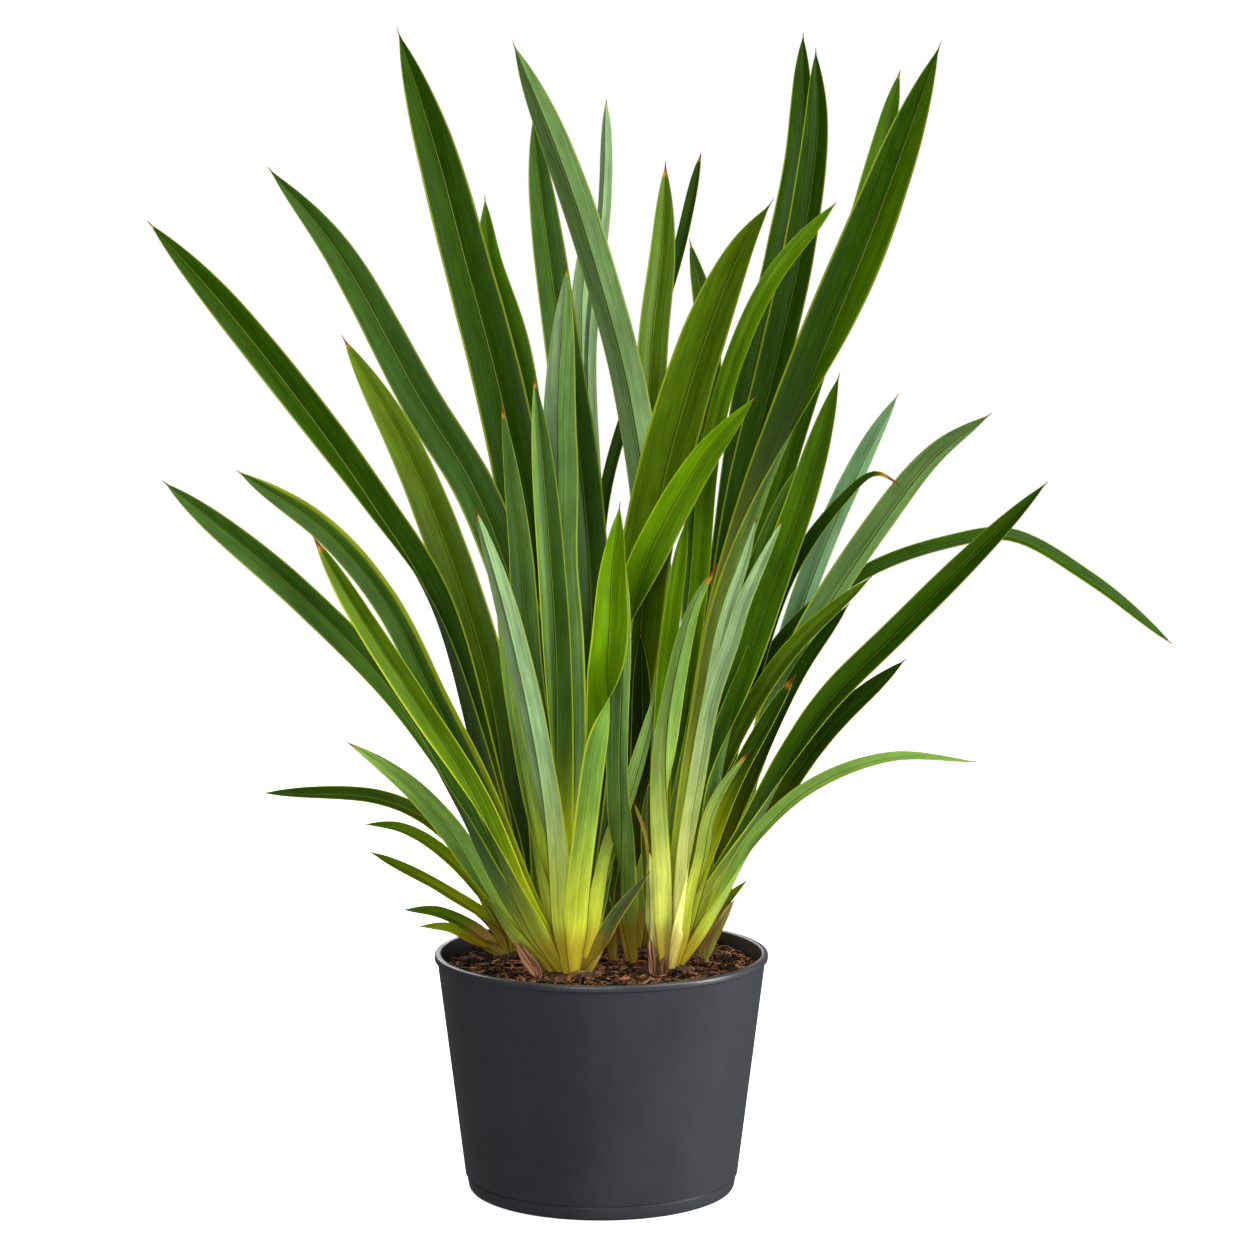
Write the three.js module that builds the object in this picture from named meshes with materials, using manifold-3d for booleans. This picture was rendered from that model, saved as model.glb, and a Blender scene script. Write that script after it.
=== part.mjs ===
// A potted New Zealand flax: fans of sword-shaped leaves in a plain round pot.
// Millimetres, +Z up. The origin is the middle of the pot's underside.

import * as THREE from 'three';
import { mergeVertices } from 'three/addons/utils/BufferGeometryUtils.js';
import Module from 'manifold-3d';

// Pot
const POT_HEIGHT = 215;
const RIM_RADIUS = 150;
const LIP_HEIGHT = 6;
const LIP_OVERHANG = 2.5;
const LIP_EDGE_ROUND = 1.5;
const WALL_TOP_RADIUS = RIM_RADIUS - LIP_OVERHANG;
const WALL_FOOT_RADIUS = 123;
const WALL_THICKNESS = 4.5;
const FOOT_HEIGHT = 14;
const FOOT_INSET = 1.2;
const FOOT_TAPER = 1.2;
const FOOT_ROUND = 4.5;
const GROOVE_HEIGHT = 1.6;
const GROOVE_DEPTH = 1.4;
const FLOOR_THICKNESS = 5;
const POT_SIDES = 48;
const DRAIN_HOLES = 8;
const DRAIN_RADIUS = 5;
const DRAIN_CIRCLE = 72;

// Soil
const SOIL_TOP = 205;
const SOIL_EDGE_DROP = 4;
const SOIL_RIPPLE = 1.6;
const SOIL_SIDES = 32;
const SOIL_RINGS = 4;

// Clearance between pieces that touch, and the finest detail kept where leaves join
const GAP = 0.3;
const JOIN_TOLERANCE = 0.03;

// Crowns: the short rootstocks that the leaves of a fan grow from
const CROWN_LENGTH = 54;
const CROWN_WIDTH = 34;
const CROWN_DEPTH = 24;
const CROWN_RISE = 12;
const CROWN_SIDES = 16;
const HOLE_MARGIN = 1;

// Holes for the dry pieces
const DRY_HOLE_RADIUS = 4;
const DRY_HOLE_DEPTH = 6.3;

// Leaves
const BLADE_EDGE = 0.8;
const BLADE_RIB = 1.5;
const BASE_RIB = 0.6;
const BASE_RIB_SHARE = 0.08;
const FLANK = 9;
const FLANK_SHARE = 0.3;
const FLANK_RISE = 55;
const BASE_FOLD = 62;
const BLADE_FOLD = 15;
const SHUT_TO = 0.08;
const OPEN_FROM = 0.3;
const OPEN_BY = 0.5;
const TIP_TAPER = 1.6;
const TIP_END = 1.6;
const FOOT_RISE = 2;
const TIP_STATIONS = [0.93, 0.98, 1];

// The front view that the leaves are laid out in: an eye 3 m away and 830 mm up.
const EYE = new THREE.Vector3(23, -3000, 830);

const wasm = await Module();
wasm.setup();

// Turns a closed geometry into a solid that can be joined and cut.
function solidOf(geometry) {
  const bare = geometry.clone();
  bare.deleteAttribute('normal');
  bare.deleteAttribute('uv');
  const merged = mergeVertices(bare, 1e-4);
  return new wasm.Manifold(new wasm.Mesh({
    numProp: 3,
    vertProperties: new Float32Array(merged.attributes.position.array),
    triVerts: new Uint32Array(merged.index.array),
  }));
}

// Turns a solid back into a geometry for a mesh.
function geometryOf(solid) {
  const mesh = solid.getMesh();
  const geometry = new THREE.BufferGeometry();
  geometry.setAttribute('position', new THREE.BufferAttribute(mesh.vertProperties, 3));
  geometry.setIndex(new THREE.BufferAttribute(mesh.triVerts, 1));
  geometry.computeVertexNormals();
  return geometry;
}

// A body of revolution about Z from [radius, height] pairs that start and end on the axis.
function turned(profile, sides) {
  const points = profile.map(([r, z]) => new THREE.Vector2(r, z));
  const geometry = new THREE.LatheGeometry(points, sides);
  geometry.rotateX(Math.PI / 2);
  return geometry;
}

function smooth(from, to, value) {
  return THREE.MathUtils.smoothstep(value, from, to);
}

// Radius of the pot's outer wall at a height.
function wallRadius(z) {
  const share = (z - FOOT_HEIGHT) / (POT_HEIGHT - LIP_HEIGHT - FOOT_HEIGHT);
  return THREE.MathUtils.lerp(WALL_FOOT_RADIUS, WALL_TOP_RADIUS, share);
}

function innerRadius(z) {
  return wallRadius(z) - WALL_THICKNESS;
}

// The pot: a tapered shell with a square lip, a fine groove above its foot and drain holes.
function makePot() {
  const footRadius = WALL_FOOT_RADIUS - FOOT_INSET;
  const lipFoot = POT_HEIGHT - LIP_HEIGHT;
  const mouth = innerRadius(POT_HEIGHT);
  const profile = [
    [0, 0],
    [footRadius - FOOT_TAPER - FOOT_ROUND, 0],
    [footRadius - FOOT_TAPER - FOOT_ROUND * 0.3, FOOT_ROUND * 0.3],
    [footRadius - FOOT_TAPER, FOOT_ROUND],
    [footRadius, FOOT_HEIGHT - GROOVE_HEIGHT],
    [footRadius - GROOVE_DEPTH, FOOT_HEIGHT - GROOVE_HEIGHT + 0.3],
    [footRadius - GROOVE_DEPTH, FOOT_HEIGHT - 0.3],
    [WALL_FOOT_RADIUS, FOOT_HEIGHT],
    [wallRadius(lipFoot), lipFoot],
    [RIM_RADIUS, lipFoot + 0.5],
    [RIM_RADIUS, POT_HEIGHT - LIP_EDGE_ROUND],
    [RIM_RADIUS - LIP_EDGE_ROUND, POT_HEIGHT],
    [mouth + LIP_EDGE_ROUND / 2, POT_HEIGHT],
    [mouth, POT_HEIGHT - LIP_EDGE_ROUND / 2],
    [innerRadius(FLOOR_THICKNESS + FOOT_ROUND), FLOOR_THICKNESS + FOOT_ROUND],
    [innerRadius(FLOOR_THICKNESS) - FOOT_ROUND, FLOOR_THICKNESS],
    [0, FLOOR_THICKNESS],
  ];
  let pot = solidOf(turned(profile, POT_SIDES));
  for (let i = 0; i < DRAIN_HOLES; i += 1) {
    const angle = (i / DRAIN_HOLES) * 2 * Math.PI;
    const hole = new THREE.CylinderGeometry(DRAIN_RADIUS, DRAIN_RADIUS, FLOOR_THICKNESS * 4, 12);
    hole.rotateX(Math.PI / 2);
    hole.translate(DRAIN_CIRCLE * Math.cos(angle), DRAIN_CIRCLE * Math.sin(angle), 0);
    pot = pot.subtract(solidOf(hole));
  }
  return pot;
}

// Height of the soil's surface: slightly domed, with low ripples.
function soilHeight(x, y) {
  const out = Math.hypot(x, y) / innerRadius(SOIL_TOP);
  const ripple = Math.sin(x * 0.09 + 1.3) * Math.cos(y * 0.11 - 0.4)
    + 0.5 * Math.sin((x + y) * 0.17);
  return SOIL_TOP - SOIL_EDGE_DROP * out ** 4 + SOIL_RIPPLE * ripple * (1 - out ** 4);
}

// The soil: fills the pot below the rim, with a blind hole for each crown.
function makeSoil(holes) {
  const profile = [[0, FLOOR_THICKNESS + GAP]];
  const floorRadius = innerRadius(FLOOR_THICKNESS) - FOOT_ROUND - GAP * 2;
  profile.push([floorRadius, FLOOR_THICKNESS + GAP]);
  const low = FLOOR_THICKNESS + FOOT_ROUND;
  profile.push([innerRadius(low) - GAP * 2, low + GAP]);
  const edge = innerRadius(SOIL_TOP - SOIL_EDGE_DROP) - GAP * 2;
  for (let i = SOIL_RINGS; i >= 0; i -= 1) {
    profile.push([(edge * i) / SOIL_RINGS, SOIL_TOP]);
  }
  const geometry = turned(profile, SOIL_SIDES);
  const at = geometry.attributes.position;
  for (let i = 0; i < at.count; i += 1) {
    if (at.getZ(i) > SOIL_TOP - 1) {
      at.setZ(i, soilHeight(at.getX(i), at.getY(i)));
    }
  }
  let soil = solidOf(geometry);
  for (const hole of holes) {
    soil = soil.subtract(hole);
  }
  return soil;
}

// A crown, or with a margin the hole that it stands in: an oval plug set in the soil.
function crownSolid(crown, margin, rise) {
  const half = CROWN_WIDTH / 2;
  const length = (CROWN_LENGTH * crown.size) / 2;
  const foot = SOIL_TOP - CROWN_DEPTH - (margin > 0 ? GAP : 0);
  const profile = [
    [0, foot],
    [half * 0.6 + margin, foot],
    [half + margin, SOIL_TOP - CROWN_DEPTH * 0.5],
    [half + margin, SOIL_TOP + rise * 0.3],
    [half * 0.72 + margin, SOIL_TOP + rise],
    [0, SOIL_TOP + rise * 1.15],
  ];
  const geometry = turned(profile, CROWN_SIDES);
  geometry.scale(length / half, crown.size, 1);
  geometry.rotateZ(THREE.MathUtils.degToRad(crown.heading));
  geometry.translate(crown.at[0], crown.at[1], 0);
  return solidOf(geometry);
}

// A point of the front view, [x, y, z], is measured on the plane y = 0.
// It is moved along its line of sight to its own depth y.
function inSpace([x, y, z]) {
  const share = (y - EYE.y) / -EYE.y;
  return new THREE.Vector3(
    EYE.x + (x - EYE.x) * share,
    y,
    EYE.z + (z - EYE.z) * share,
  );
}

// A row of the leaf tables below.
function leaf(name, foot, through, width, turn, habit = {}) {
  const sheath = FLANK + FLANK_SHARE * width;
  const usual = { openFrom: 0, openBy: OPEN_BY, taper: TIP_TAPER, sheath };
  return { name, foot, through, width, turn, ...usual, ...habit };
}

// Full width of a leaf's folded foot, whose flank shows one sheath's width from the side.
function footWidth(blade, fromFoot) {
  const folded = (2 * blade.sheath) / Math.sin(THREE.MathUtils.degToRad(BASE_FOLD));
  return folded * THREE.MathUtils.lerp(0.5, 1, smooth(0, FLANK_RISE, fromFoot));
}

// Shares of a leaf's length at which its section is set: more on a leaf of many points.
function stationsFor(pointCount) {
  const even = 5 + Math.floor(pointCount ** 2 / 16);
  const stations = [];
  for (let i = 0; i <= even; i += 1) {
    stations.push((i / even) * (1 - 1.3 / (even + 3)));
  }
  return [...stations, ...TIP_STATIONS];
}

// A leaf: a folded blade along a smooth line through its points. It is narrow and folded
// at its foot, with its keel on the outer side, and turns to its own facing as it opens.
// Both faces are split along the same diagonals, so a thin blade that twists stays whole.
function leafSolid(crown, blade) {
  const foot = new THREE.Vector3(
    crown.at[0] + blade.foot[0],
    crown.at[1] + blade.foot[1],
    SOIL_TOP + (blade.foot[2] ?? FOOT_RISE),
  );
  const points = [foot, ...blade.through.map(inSpace)];
  const line = new THREE.CatmullRomCurve3(points, false, 'centripetal');
  const length = line.getLength();
  const side = Math.sign(foot.x - points[points.length - 1].x) || 1;
  const footRib = BASE_RIB + BASE_RIB_SHARE * blade.width;
  const positions = [];
  const stations = stationsFor(points.length);
  for (const t of stations) {
    const middle = line.getPointAt(t);
    const along = line.getTangentAt(t);
    const opened = smooth(blade.openFrom, blade.openBy, t);
    const turn = THREE.MathUtils.degToRad(THREE.MathUtils.lerp(90 * side, blade.turn, opened));
    const fold = THREE.MathUtils.degToRad(THREE.MathUtils.lerp(BASE_FOLD, BLADE_FOLD, opened));
    const wide = THREE.MathUtils.lerp(footWidth(blade, t * length), blade.width, opened);
    const taper = 1 - Math.exp(-((1 - t) * length) / (blade.taper * blade.width));
    const half = Math.max(TIP_END, wide * taper) / 2;
    const rib = THREE.MathUtils.lerp(footRib, BLADE_RIB, smooth(0, 0.7, t));
    const toEye = new THREE.Vector3(0, -1, 0);
    const flat = new THREE.Vector3().crossVectors(along, toEye).normalize();
    const front = new THREE.Vector3().crossVectors(flat, along).normalize();
    const across = flat.clone().multiplyScalar(Math.cos(turn))
      .addScaledVector(front, -Math.sin(turn));
    const up = front.clone().multiplyScalar(Math.cos(turn))
      .addScaledVector(flat, Math.sin(turn));
    const spread = half * Math.cos(fold);
    const lift = half * Math.sin(fold);
    const edgeOut = BLADE_EDGE * Math.sin(fold);
    const edgeDown = BLADE_EDGE * Math.cos(fold);
    const ribDown = rib / Math.cos(fold);
    const keel = -lift / 2;
    const cleft = keel + lift * (1 - smooth(SHUT_TO, OPEN_FROM, t));
    const section = [
      [-spread, keel + lift],
      [0, cleft],
      [spread, keel + lift],
      [spread + edgeOut, keel + lift - edgeDown],
      [0, keel - ribDown],
      [-spread - edgeOut, keel + lift - edgeDown],
    ];
    for (const [a, u] of section) {
      const point = middle.clone().addScaledVector(across, a).addScaledVector(up, u);
      positions.push(point.x, point.y, point.z);
    }
  }
  const ring = 6;
  const underside = [3, 4];
  const index = [];
  for (let i = 0; i < stations.length - 1; i += 1) {
    for (let j = 0; j < ring; j += 1) {
      const a = i * ring + j;
      const b = i * ring + ((j + 1) % ring);
      if (underside.includes(j)) {
        index.push(a, b, a + ring, b, b + ring, a + ring);
      } else {
        index.push(a, b, b + ring, a, b + ring, a + ring);
      }
    }
  }
  const end = (stations.length - 1) * ring;
  for (const [a, b, c] of [[0, 1, 5], [1, 4, 5], [1, 2, 4], [2, 3, 4]]) {
    index.push(a, c, b);
    index.push(end + a, end + b, end + c);
  }
  const geometry = new THREE.BufferGeometry();
  geometry.setAttribute('position', new THREE.Float32BufferAttribute(positions, 3));
  geometry.setIndex(index);
  return solidOf(geometry);
}

// The plain round hole in the soil that a dry piece stands in.
function dryHole(piece) {
  const hole = new THREE.CylinderGeometry(DRY_HOLE_RADIUS, DRY_HOLE_RADIUS, 40, 12);
  hole.rotateX(Math.PI / 2);
  hole.translate(piece.at[0], piece.at[1], SOIL_TOP - DRY_HOLE_DEPTH + 20);
  return solidOf(hole);
}

// Fills the small hollows that leaves close between them where they meet near the foot.
function withoutHollows(solid) {
  const shells = solid.decompose().filter((shell) => shell.volume() > 0);
  return shells.reduce((joined, shell) => joined.add(shell));
}

// One fan: its leaves joined to its crown.
function fanSolid(fan) {
  let solid = crownSolid(fan, 0, CROWN_RISE);
  for (const blade of fan.leaves) {
    solid = solid.add(leafSolid(fan, blade));
  }
  return withoutHollows(solid.simplify(JOIN_TOLERANCE));
}

// The fans. Each leaf has its foot from the crown's middle, the points of the front view
// that its middle line passes through, each [x, depth, z], its full width, and its turn:
// 0 shows its upper side to the front, 180 its underside, and 90 or -90 its edge.
const FANS = [
  {
    name: 'fan_front_left',
    at: [-25, -62],
    heading: 0,
    size: 1,
    leaves: [
      leaf('far_left_low', [-10, -2], [[-85, -78, 271], [-126, -90, 352], [-184, -108, 447],
        [-262, -138, 531], [-389, -200, 639]], 27, 10, { openBy: 0.75, sheath: 13 }),
      leaf('narrow_left', [-9, -6], [[-69, -88, 262], [-110, -108, 352], [-167, -130, 443],
        [-223, -152, 532], [-256, -168, 590]], 21, 15, { openBy: 0.7, sheath: 15 }),
      leaf('bowed_left', [-8, 0], [[-65, -70, 262], [-102, -76, 352], [-148, -84, 443],
        [-193, -94, 532], [-245, -108, 594], [-323, -140, 648]], 23, 12,
        { openBy: 0.7, sheath: 16 }),
      leaf('low_left', [-11, 3], [[-71, -58, 225], [-107, -66, 280], [-136, -78, 326],
        [-167, -92, 361], [-198, -106, 386], [-229, -124, 406]], 25, 10,
        { openBy: 0.65, taper: 2.6, sheath: 15 }),
      leaf('short_left', [-5, 4], [[-46, -52, 262], [-64, -52, 352], [-78, -54, 434],
        [-93, -58, 559]], 21, 48, { sheath: 18 }),
      leaf('pale_left', [-3, -3], [[-36, -72, 262], [-51, -88, 362], [-66, -102, 443],
        [-87, -118, 532], [-112, -136, 616]], 25, 160, { taper: 2.2, sheath: 20 }),
      leaf('centre_left', [-1, -2], [[-33, -62, 262], [-36, -66, 362], [-40, -72, 488],
        [-47, -76, 595], [-59, -80, 732]], 26, 15, { openBy: 0.6, taper: 2.2, sheath: 16 }),
      leaf('tall_pale', [1, 2], [[-27, -50, 352], [-32, -44, 488], [-38, -42, 568],
        [-37, -40, 640], [-37, -38, 710], [-30, -36, 830]], 34, 165, { taper: 1.9, sheath: 18 }),
      leaf('dark_left', [-3, 3], [[-39, -48, 307], [-63, -46, 443], [-72, -44, 575],
        [-79, -43, 639], [-88, -42, 708]], 27, 15, { taper: 3.2, sheath: 16 }),
      leaf('front_centre', [0, -8], [[-23, -84, 262], [-17, -94, 316], [-10, -104, 371],
        [-1, -118, 434], [7, -130, 497], [10, -146, 559], [17, -168, 620]], 36, 10,
        { openFrom: 0.46, openBy: 0.74, sheath: 19 }),
      leaf('front_right', [4, 0], [[-4, -44, 262], [13, -34, 389], [15, -32, 443],
        [19, -34, 497], [36, -46, 558], [88, -70, 655], [138, -92, 715]], 33, 12,
        { openFrom: 0.42, openBy: 0.75, sheath: 15 }),
      leaf('slanting_pale', [6, 0], [[-3, -52, 262], [9, -46, 312], [22, -38, 350],
        [39, -28, 407], [49, -20, 452]], 17, -150, { taper: 2.0, sheath: 16 }),
      leaf('short_dark', [12, -6], [[-3, -74, 216], [11, -84, 244], [44, -100, 288]], 15, -30,
        { taper: 2.4, sheath: 14 }),
    ],
  },
  {
    name: 'fan_front_right',
    at: [58, -34],
    heading: 0,
    size: 1,
    leaves: [
      leaf('great_leaf', [0, 0], [[67, -38, 262], [77, -40, 352], [91, -40, 443],
        [107, -40, 532], [136, -41, 622], [173, -43, 710], [230, -46, 842], [298, -60, 1024]
        ], 49, -15, { openFrom: 0.3, openBy: 0.8, sheath: 20 }),
      leaf('dark_right', [5, -3], [[76, -46, 262], [93, -48, 371], [108, -50, 443],
        [125, -52, 506], [145, -54, 568], [167, -56, 622], [187, -58, 657], [204, -60, 685]
        ], 26, -25, { openFrom: 0.3, openBy: 0.7, sheath: 15 }),
      leaf('pale_right', [3, -6], [[71, -58, 262], [77, -66, 316], [86, -76, 371],
        [99, -86, 443], [117, -94, 497], [128, -98, 532], [161, -106, 604]], 15, -25,
        { openBy: 0.4, taper: 3.0, sheath: 13 }),
      leaf('green_right', [6, -3], [[79, -50, 262], [94, -54, 316], [99, -56, 371],
        [118, -60, 443], [135, -64, 497], [159, -70, 568], [178, -74, 622], [211, -80, 734]
        ], 28, -15, { openFrom: 0.2, openBy: 0.6, sheath: 15 }),
      leaf('pale_short', [-3, -6], [[54, -60, 262], [53, -78, 316], [56, -94, 389],
        [63, -104, 443], [74, -116, 497], [85, -124, 532], [105, -134, 567]], 23, 165,
        { openFrom: 0.2, openBy: 0.7, taper: 3.4, sheath: 15 }),
      leaf('light_back', [-3, 3], [[56, -28, 307], [56, -26, 443], [65, -28, 532],
        [76, -28, 605]], 15, -10),
      leaf('short_right', [5, -5], [[80, -56, 262], [90, -60, 298], [96, -64, 334],
        [108, -68, 362], [135, -74, 400]], 15, -150, { taper: 3.0, sheath: 15 }),
      leaf('arched_low', [8, 0], [[90, -28, 320], [112, -30, 389], [139, -34, 443],
        [174, -42, 492], [241, -62, 554]], 20, -45, { openFrom: 0.1, openBy: 0.6 }),
      leaf('brown_tip', [8, -4], [[84, -50, 271], [118, -64, 366], [151, -78, 429],
        [174, -86, 467]], 15, -25),
      leaf('right_dark', [8, -3], [[73, -42, 234], [102, -46, 280], [130, -50, 325],
        [166, -56, 389], [203, -66, 443], [266, -86, 507], [396, -140, 638]], 24, -25,
        { openFrom: 0.1, openBy: 0.55, taper: 2.4, sheath: 14 }),
      leaf('long_arch', [10, -6], [[105, -54, 262], [138, -68, 318], [187, -88, 364],
        [258, -116, 391], [337, -150, 387]], 18, -50, { taper: 5, sheath: 12 }),
      leaf('foot_bract', [-10, -6], [[46, -48, 230], [45, -50, 257], [44, -52, 282]], 13, 150,
        { taper: 1.6, sheath: 13 }),
      leaf('left_sheath', [-8, -7], [[48, -50, 244], [44, -54, 284], [39, -58, 321],
        [29, -62, 351]], 3, 100, { sheath: 5 }),
    ],
  },
  {
    name: 'fan_middle',
    at: [28, 46],
    heading: 0,
    size: 0.95,
    leaves: [
      leaf('front_centre', [-4, -6], [[24, -14, 262], [19, -52, 310], [15, -78, 380],
        [18, -96, 488], [18, -112, 582]], 21, -155, { sheath: 9 }),
      leaf('broad_arch', [2, -2], [[27, 22, 353], [33, -4, 515], [50, -20, 622],
        [87, -40, 754], [123, -60, 842], [152, -78, 887]], 50, -10),
      leaf('narrow_arch', [14, 0], [[63, 32, 353], [86, 16, 532], [99, 6, 675],
        [121, -6, 754], [153, -16, 820], [207, -30, 884]], 17, -20),
      leaf('upright', [4, 5], [[35, 56, 353], [39, 60, 532], [45, 62, 754],
        [54, 62, 842], [57, 62, 920]], 29, 12),
      leaf('left_arch', [-4, 3], [[39, 40, 353], [48, 30, 532], [27, 16, 710],
        [-8, 0, 842], [-38, -14, 929], [-77, -40, 1023]], 31, 170),
      leaf('slim', [-10, 4], [[12, 70, 353], [2, 84, 480], [-5, 98, 622], [-10, 114, 754],
        [3, 122, 886], [5, 128, 973]], 13, 150, { sheath: 8 }),
      leaf('inner_left', [-3, -5], [[7, 10, 262], [3, 4, 316], [2, -2, 389],
        [4, -6, 461], [6, -8, 510]], 22, 8),
      leaf('inner_right', [3, -5], [[19, 8, 257], [27, 4, 298], [34, 0, 352],
        [36, -4, 407], [36, -6, 461], [35, -8, 504]], 20, -8),
      leaf('rear_middle', [-2, 6], [[30, 96, 300], [28, 160, 420], [14, 240, 520],
        [0, 310, 560]], 32, 10),
      leaf('rear_arch', [6, 7], [[36, 86, 330], [38, 160, 500], [52, 240, 622],
        [78, 320, 724]], 30, 10),
    ],
  },
  {
    name: 'fan_left',
    at: [-77, 25],
    heading: 10,
    size: 0.85,
    leaves: [
      leaf('long_left', [-1, 0], [[-86, 20, 307], [-108, 12, 407], [-146, 2, 532],
        [-203, -14, 622], [-267, -36, 710], [-337, -68, 798], [-399, -104, 868]], 34, 20,
        { openBy: 0.85, taper: 1.9 }),
      leaf('bright', [5, 3], [[-74, 34, 307], [-88, 42, 398], [-108, 48, 488],
        [-137, 54, 577], [-173, 58, 666], [-229, 62, 768]], 36, 15),
      leaf('level_left', [-4, -2], [[-94, 12, 266], [-127, 0, 310], [-162, -10, 339],
        [-203, -20, 355], [-304, -44, 359]], 17, 50),
      leaf('small_arch', [-6, -4], [[-105, 0, 262], [-145, -22, 307], [-180, -38, 327],
        [-213, -50, 331]], 14, 50),
      leaf('small_lower', [-7, -6, 3], [[-96, 4, 238], [-145, -20, 273],
        [-208, -46, 306]], 12, 45),
      leaf('dry_patch', [-9, -5, 3], [[-106, 4, 229], [-145, -10, 250], [-179, -22, 253]], 14, 35),
      leaf('lowest', [-11, -3, 2], [[-110, 10, 223], [-136, 4, 236], [-165, -2, 238]], 12, 40),
    ],
  },
  {
    name: 'fan_right',
    at: [86, 38],
    heading: -10,
    size: 0.85,
    leaves: [
      leaf('drooping', [2, 3], [[96, 40, 307], [115, 36, 416], [173, 34, 510],
        [239, 36, 559], [310, 46, 584], [363, 58, 590], [435, 82, 551], [509, 112, 493]], 15, -45,
        { taper: 2.4 }),
      leaf('light_broad', [5, 0], [[111, 28, 298], [146, 18, 407], [190, 4, 510],
        [248, -14, 601], [296, -30, 662], [346, -50, 699]], 28, -155),
      leaf('blue', [4, 5], [[107, 48, 271], [138, 58, 380], [171, 74, 506],
        [201, 92, 590], [236, 112, 666], [263, 130, 716]], 24, -160),
      leaf('hooked', [2, -4], [[102, 16, 334], [133, -4, 452], [168, -22, 555],
        [212, -40, 619], [243, -52, 645], [267, -60, 634]], 19, -40, { taper: 4.5 }),
      leaf('outer', [6, -5], [[108, 12, 298], [139, -10, 384], [177, -30, 467],
        [221, -56, 530]], 17, -45),
      leaf('right_low', [9, -3], [[115, 16, 291], [151, 4, 343], [204, -16, 418],
        [272, -44, 480]], 21, -25),
      leaf('short_low', [9, -6], [[103, 18, 242], [114, 10, 262], [131, 0, 280]], 11, -45),
    ],
  },
  {
    name: 'fan_back_left',
    at: [-38, 86],
    heading: -15,
    size: 1,
    leaves: [
      leaf('dark_arch', [-8, -3], [[-37, 74, 353], [-63, 72, 488], [-108, 82, 622],
        [-160, 96, 710], [-233, 126, 842], [-293, 160, 915]], 39, 12, { taper: 2.2 }),
      leaf('tallest', [-2, 2], [[-37, 94, 353], [-54, 104, 532], [-88, 122, 710],
        [-122, 150, 842], [-145, 172, 929], [-178, 204, 1035]], 48, 10),
      leaf('behind_tallest', [2, 7], [[-37, 116, 398], [-58, 138, 622], [-77, 166, 754],
        [-98, 190, 833], [-102, 210, 890]], 33, 12),
      leaf('dark_upright', [8, -4], [[-8, 66, 443], [-15, 58, 622], [-34, 54, 754],
        [-52, 52, 886], [-60, 50, 960]], 34, 12, { sheath: 14 }),
      leaf('blue_behind', [12, 0], [[-10, 104, 532], [-17, 124, 710], [-18, 140, 789],
        [-10, 158, 873]], 19, -160),
      leaf('slim_dark', [13, 4], [[-6, 126, 398], [3, 152, 622], [42, 174, 754],
        [69, 196, 842], [88, 214, 927]], 12, -30),
      leaf('rear_left', [-6, 7], [[-46, 136, 300], [-46, 200, 410], [-46, 280, 500],
        [-44, 350, 540]], 32, 8),
      leaf('rear_right', [6, 7], [[-24, 126, 310], [-14, 200, 430], [-10, 280, 520],
        [-10, 340, 550]], 30, -12),
      leaf('rear_low', [-11, 6], [[-56, 140, 262], [-62, 210, 318], [-62, 268, 340]], 26, 20),
      leaf('rear_tall', [0, 7], [[-40, 140, 353], [-55, 210, 532], [-84, 290, 690],
        [-104, 340, 775]], 32, 10),
    ],
  },
  {
    name: 'fan_back_right',
    at: [64, 84],
    heading: 15,
    size: 1,
    leaves: [
      leaf('tall_pair_left', [4, 4], [[88, 108, 398], [111, 124, 577], [129, 146, 710],
        [158, 176, 842], [174, 200, 929], [177, 226, 1031]], 27, -20),
      leaf('tall_pair_right', [8, -2], [[99, 92, 443], [125, 98, 622], [156, 112, 754],
        [175, 130, 842], [189, 150, 947], [188, 166, 1018]], 31, -15),
      leaf('behind_great', [12, -6], [[107, 58, 443], [167, 52, 666], [219, 58, 833],
        [248, 72, 938], [262, 84, 999]], 22, -15),
      leaf('dark_short', [-4, 0], [[79, 98, 443], [85, 108, 622], [94, 122, 763],
        [78, 140, 852]], 26, 20),
      leaf('rear_left', [-4, 7], [[60, 128, 300], [56, 210, 420], [48, 290, 510],
        [40, 350, 545]], 32, 8),
      leaf('rear_right', [8, 7], [[78, 124, 290], [94, 210, 390], [102, 280, 460],
        [104, 340, 490]], 30, -12),
      leaf('rear_tall', [6, 6], [[90, 130, 400], [124, 210, 577], [168, 290, 697],
        [196, 336, 770]], 32, -10),
      leaf('rear_low', [10, 5], [[80, 116, 252], [88, 190, 318], [90, 256, 338]], 24, -20),
    ],
  },
];

// Two dead pieces that stand in the soil by themselves.
const DRY_SHEATH = {
  name: 'dry_sheath_left',
  at: [-56, -72],
  blade: leaf('sheath', [0, 0, -5.5], [[-58, -72, 194], [-67, -74, 208], [-80, -76, 227]], 6, 60,
    { sheath: 3 }),
};
const DRY_LEAF = {
  name: 'dry_leaf_right',
  at: [93, 12],
  blade: leaf('leaf', [0, 0, -5.5], [[93, 12, 214], [104, 4, 236], [120, -6, 263]], 7, -60,
    { sheath: 3 }),
};

const LEAF_GREEN = 0x3f6a17;
const LEAF_BRIGHT = 0x5f8a1c;

function leafMaterial(colour) {
  return new THREE.MeshStandardMaterial({ color: colour, roughness: 0.45, metalness: 0 });
}

function namedMesh(name, solid, material) {
  const mesh = new THREE.Mesh(geometryOf(solid), material);
  mesh.name = name;
  return mesh;
}

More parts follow.
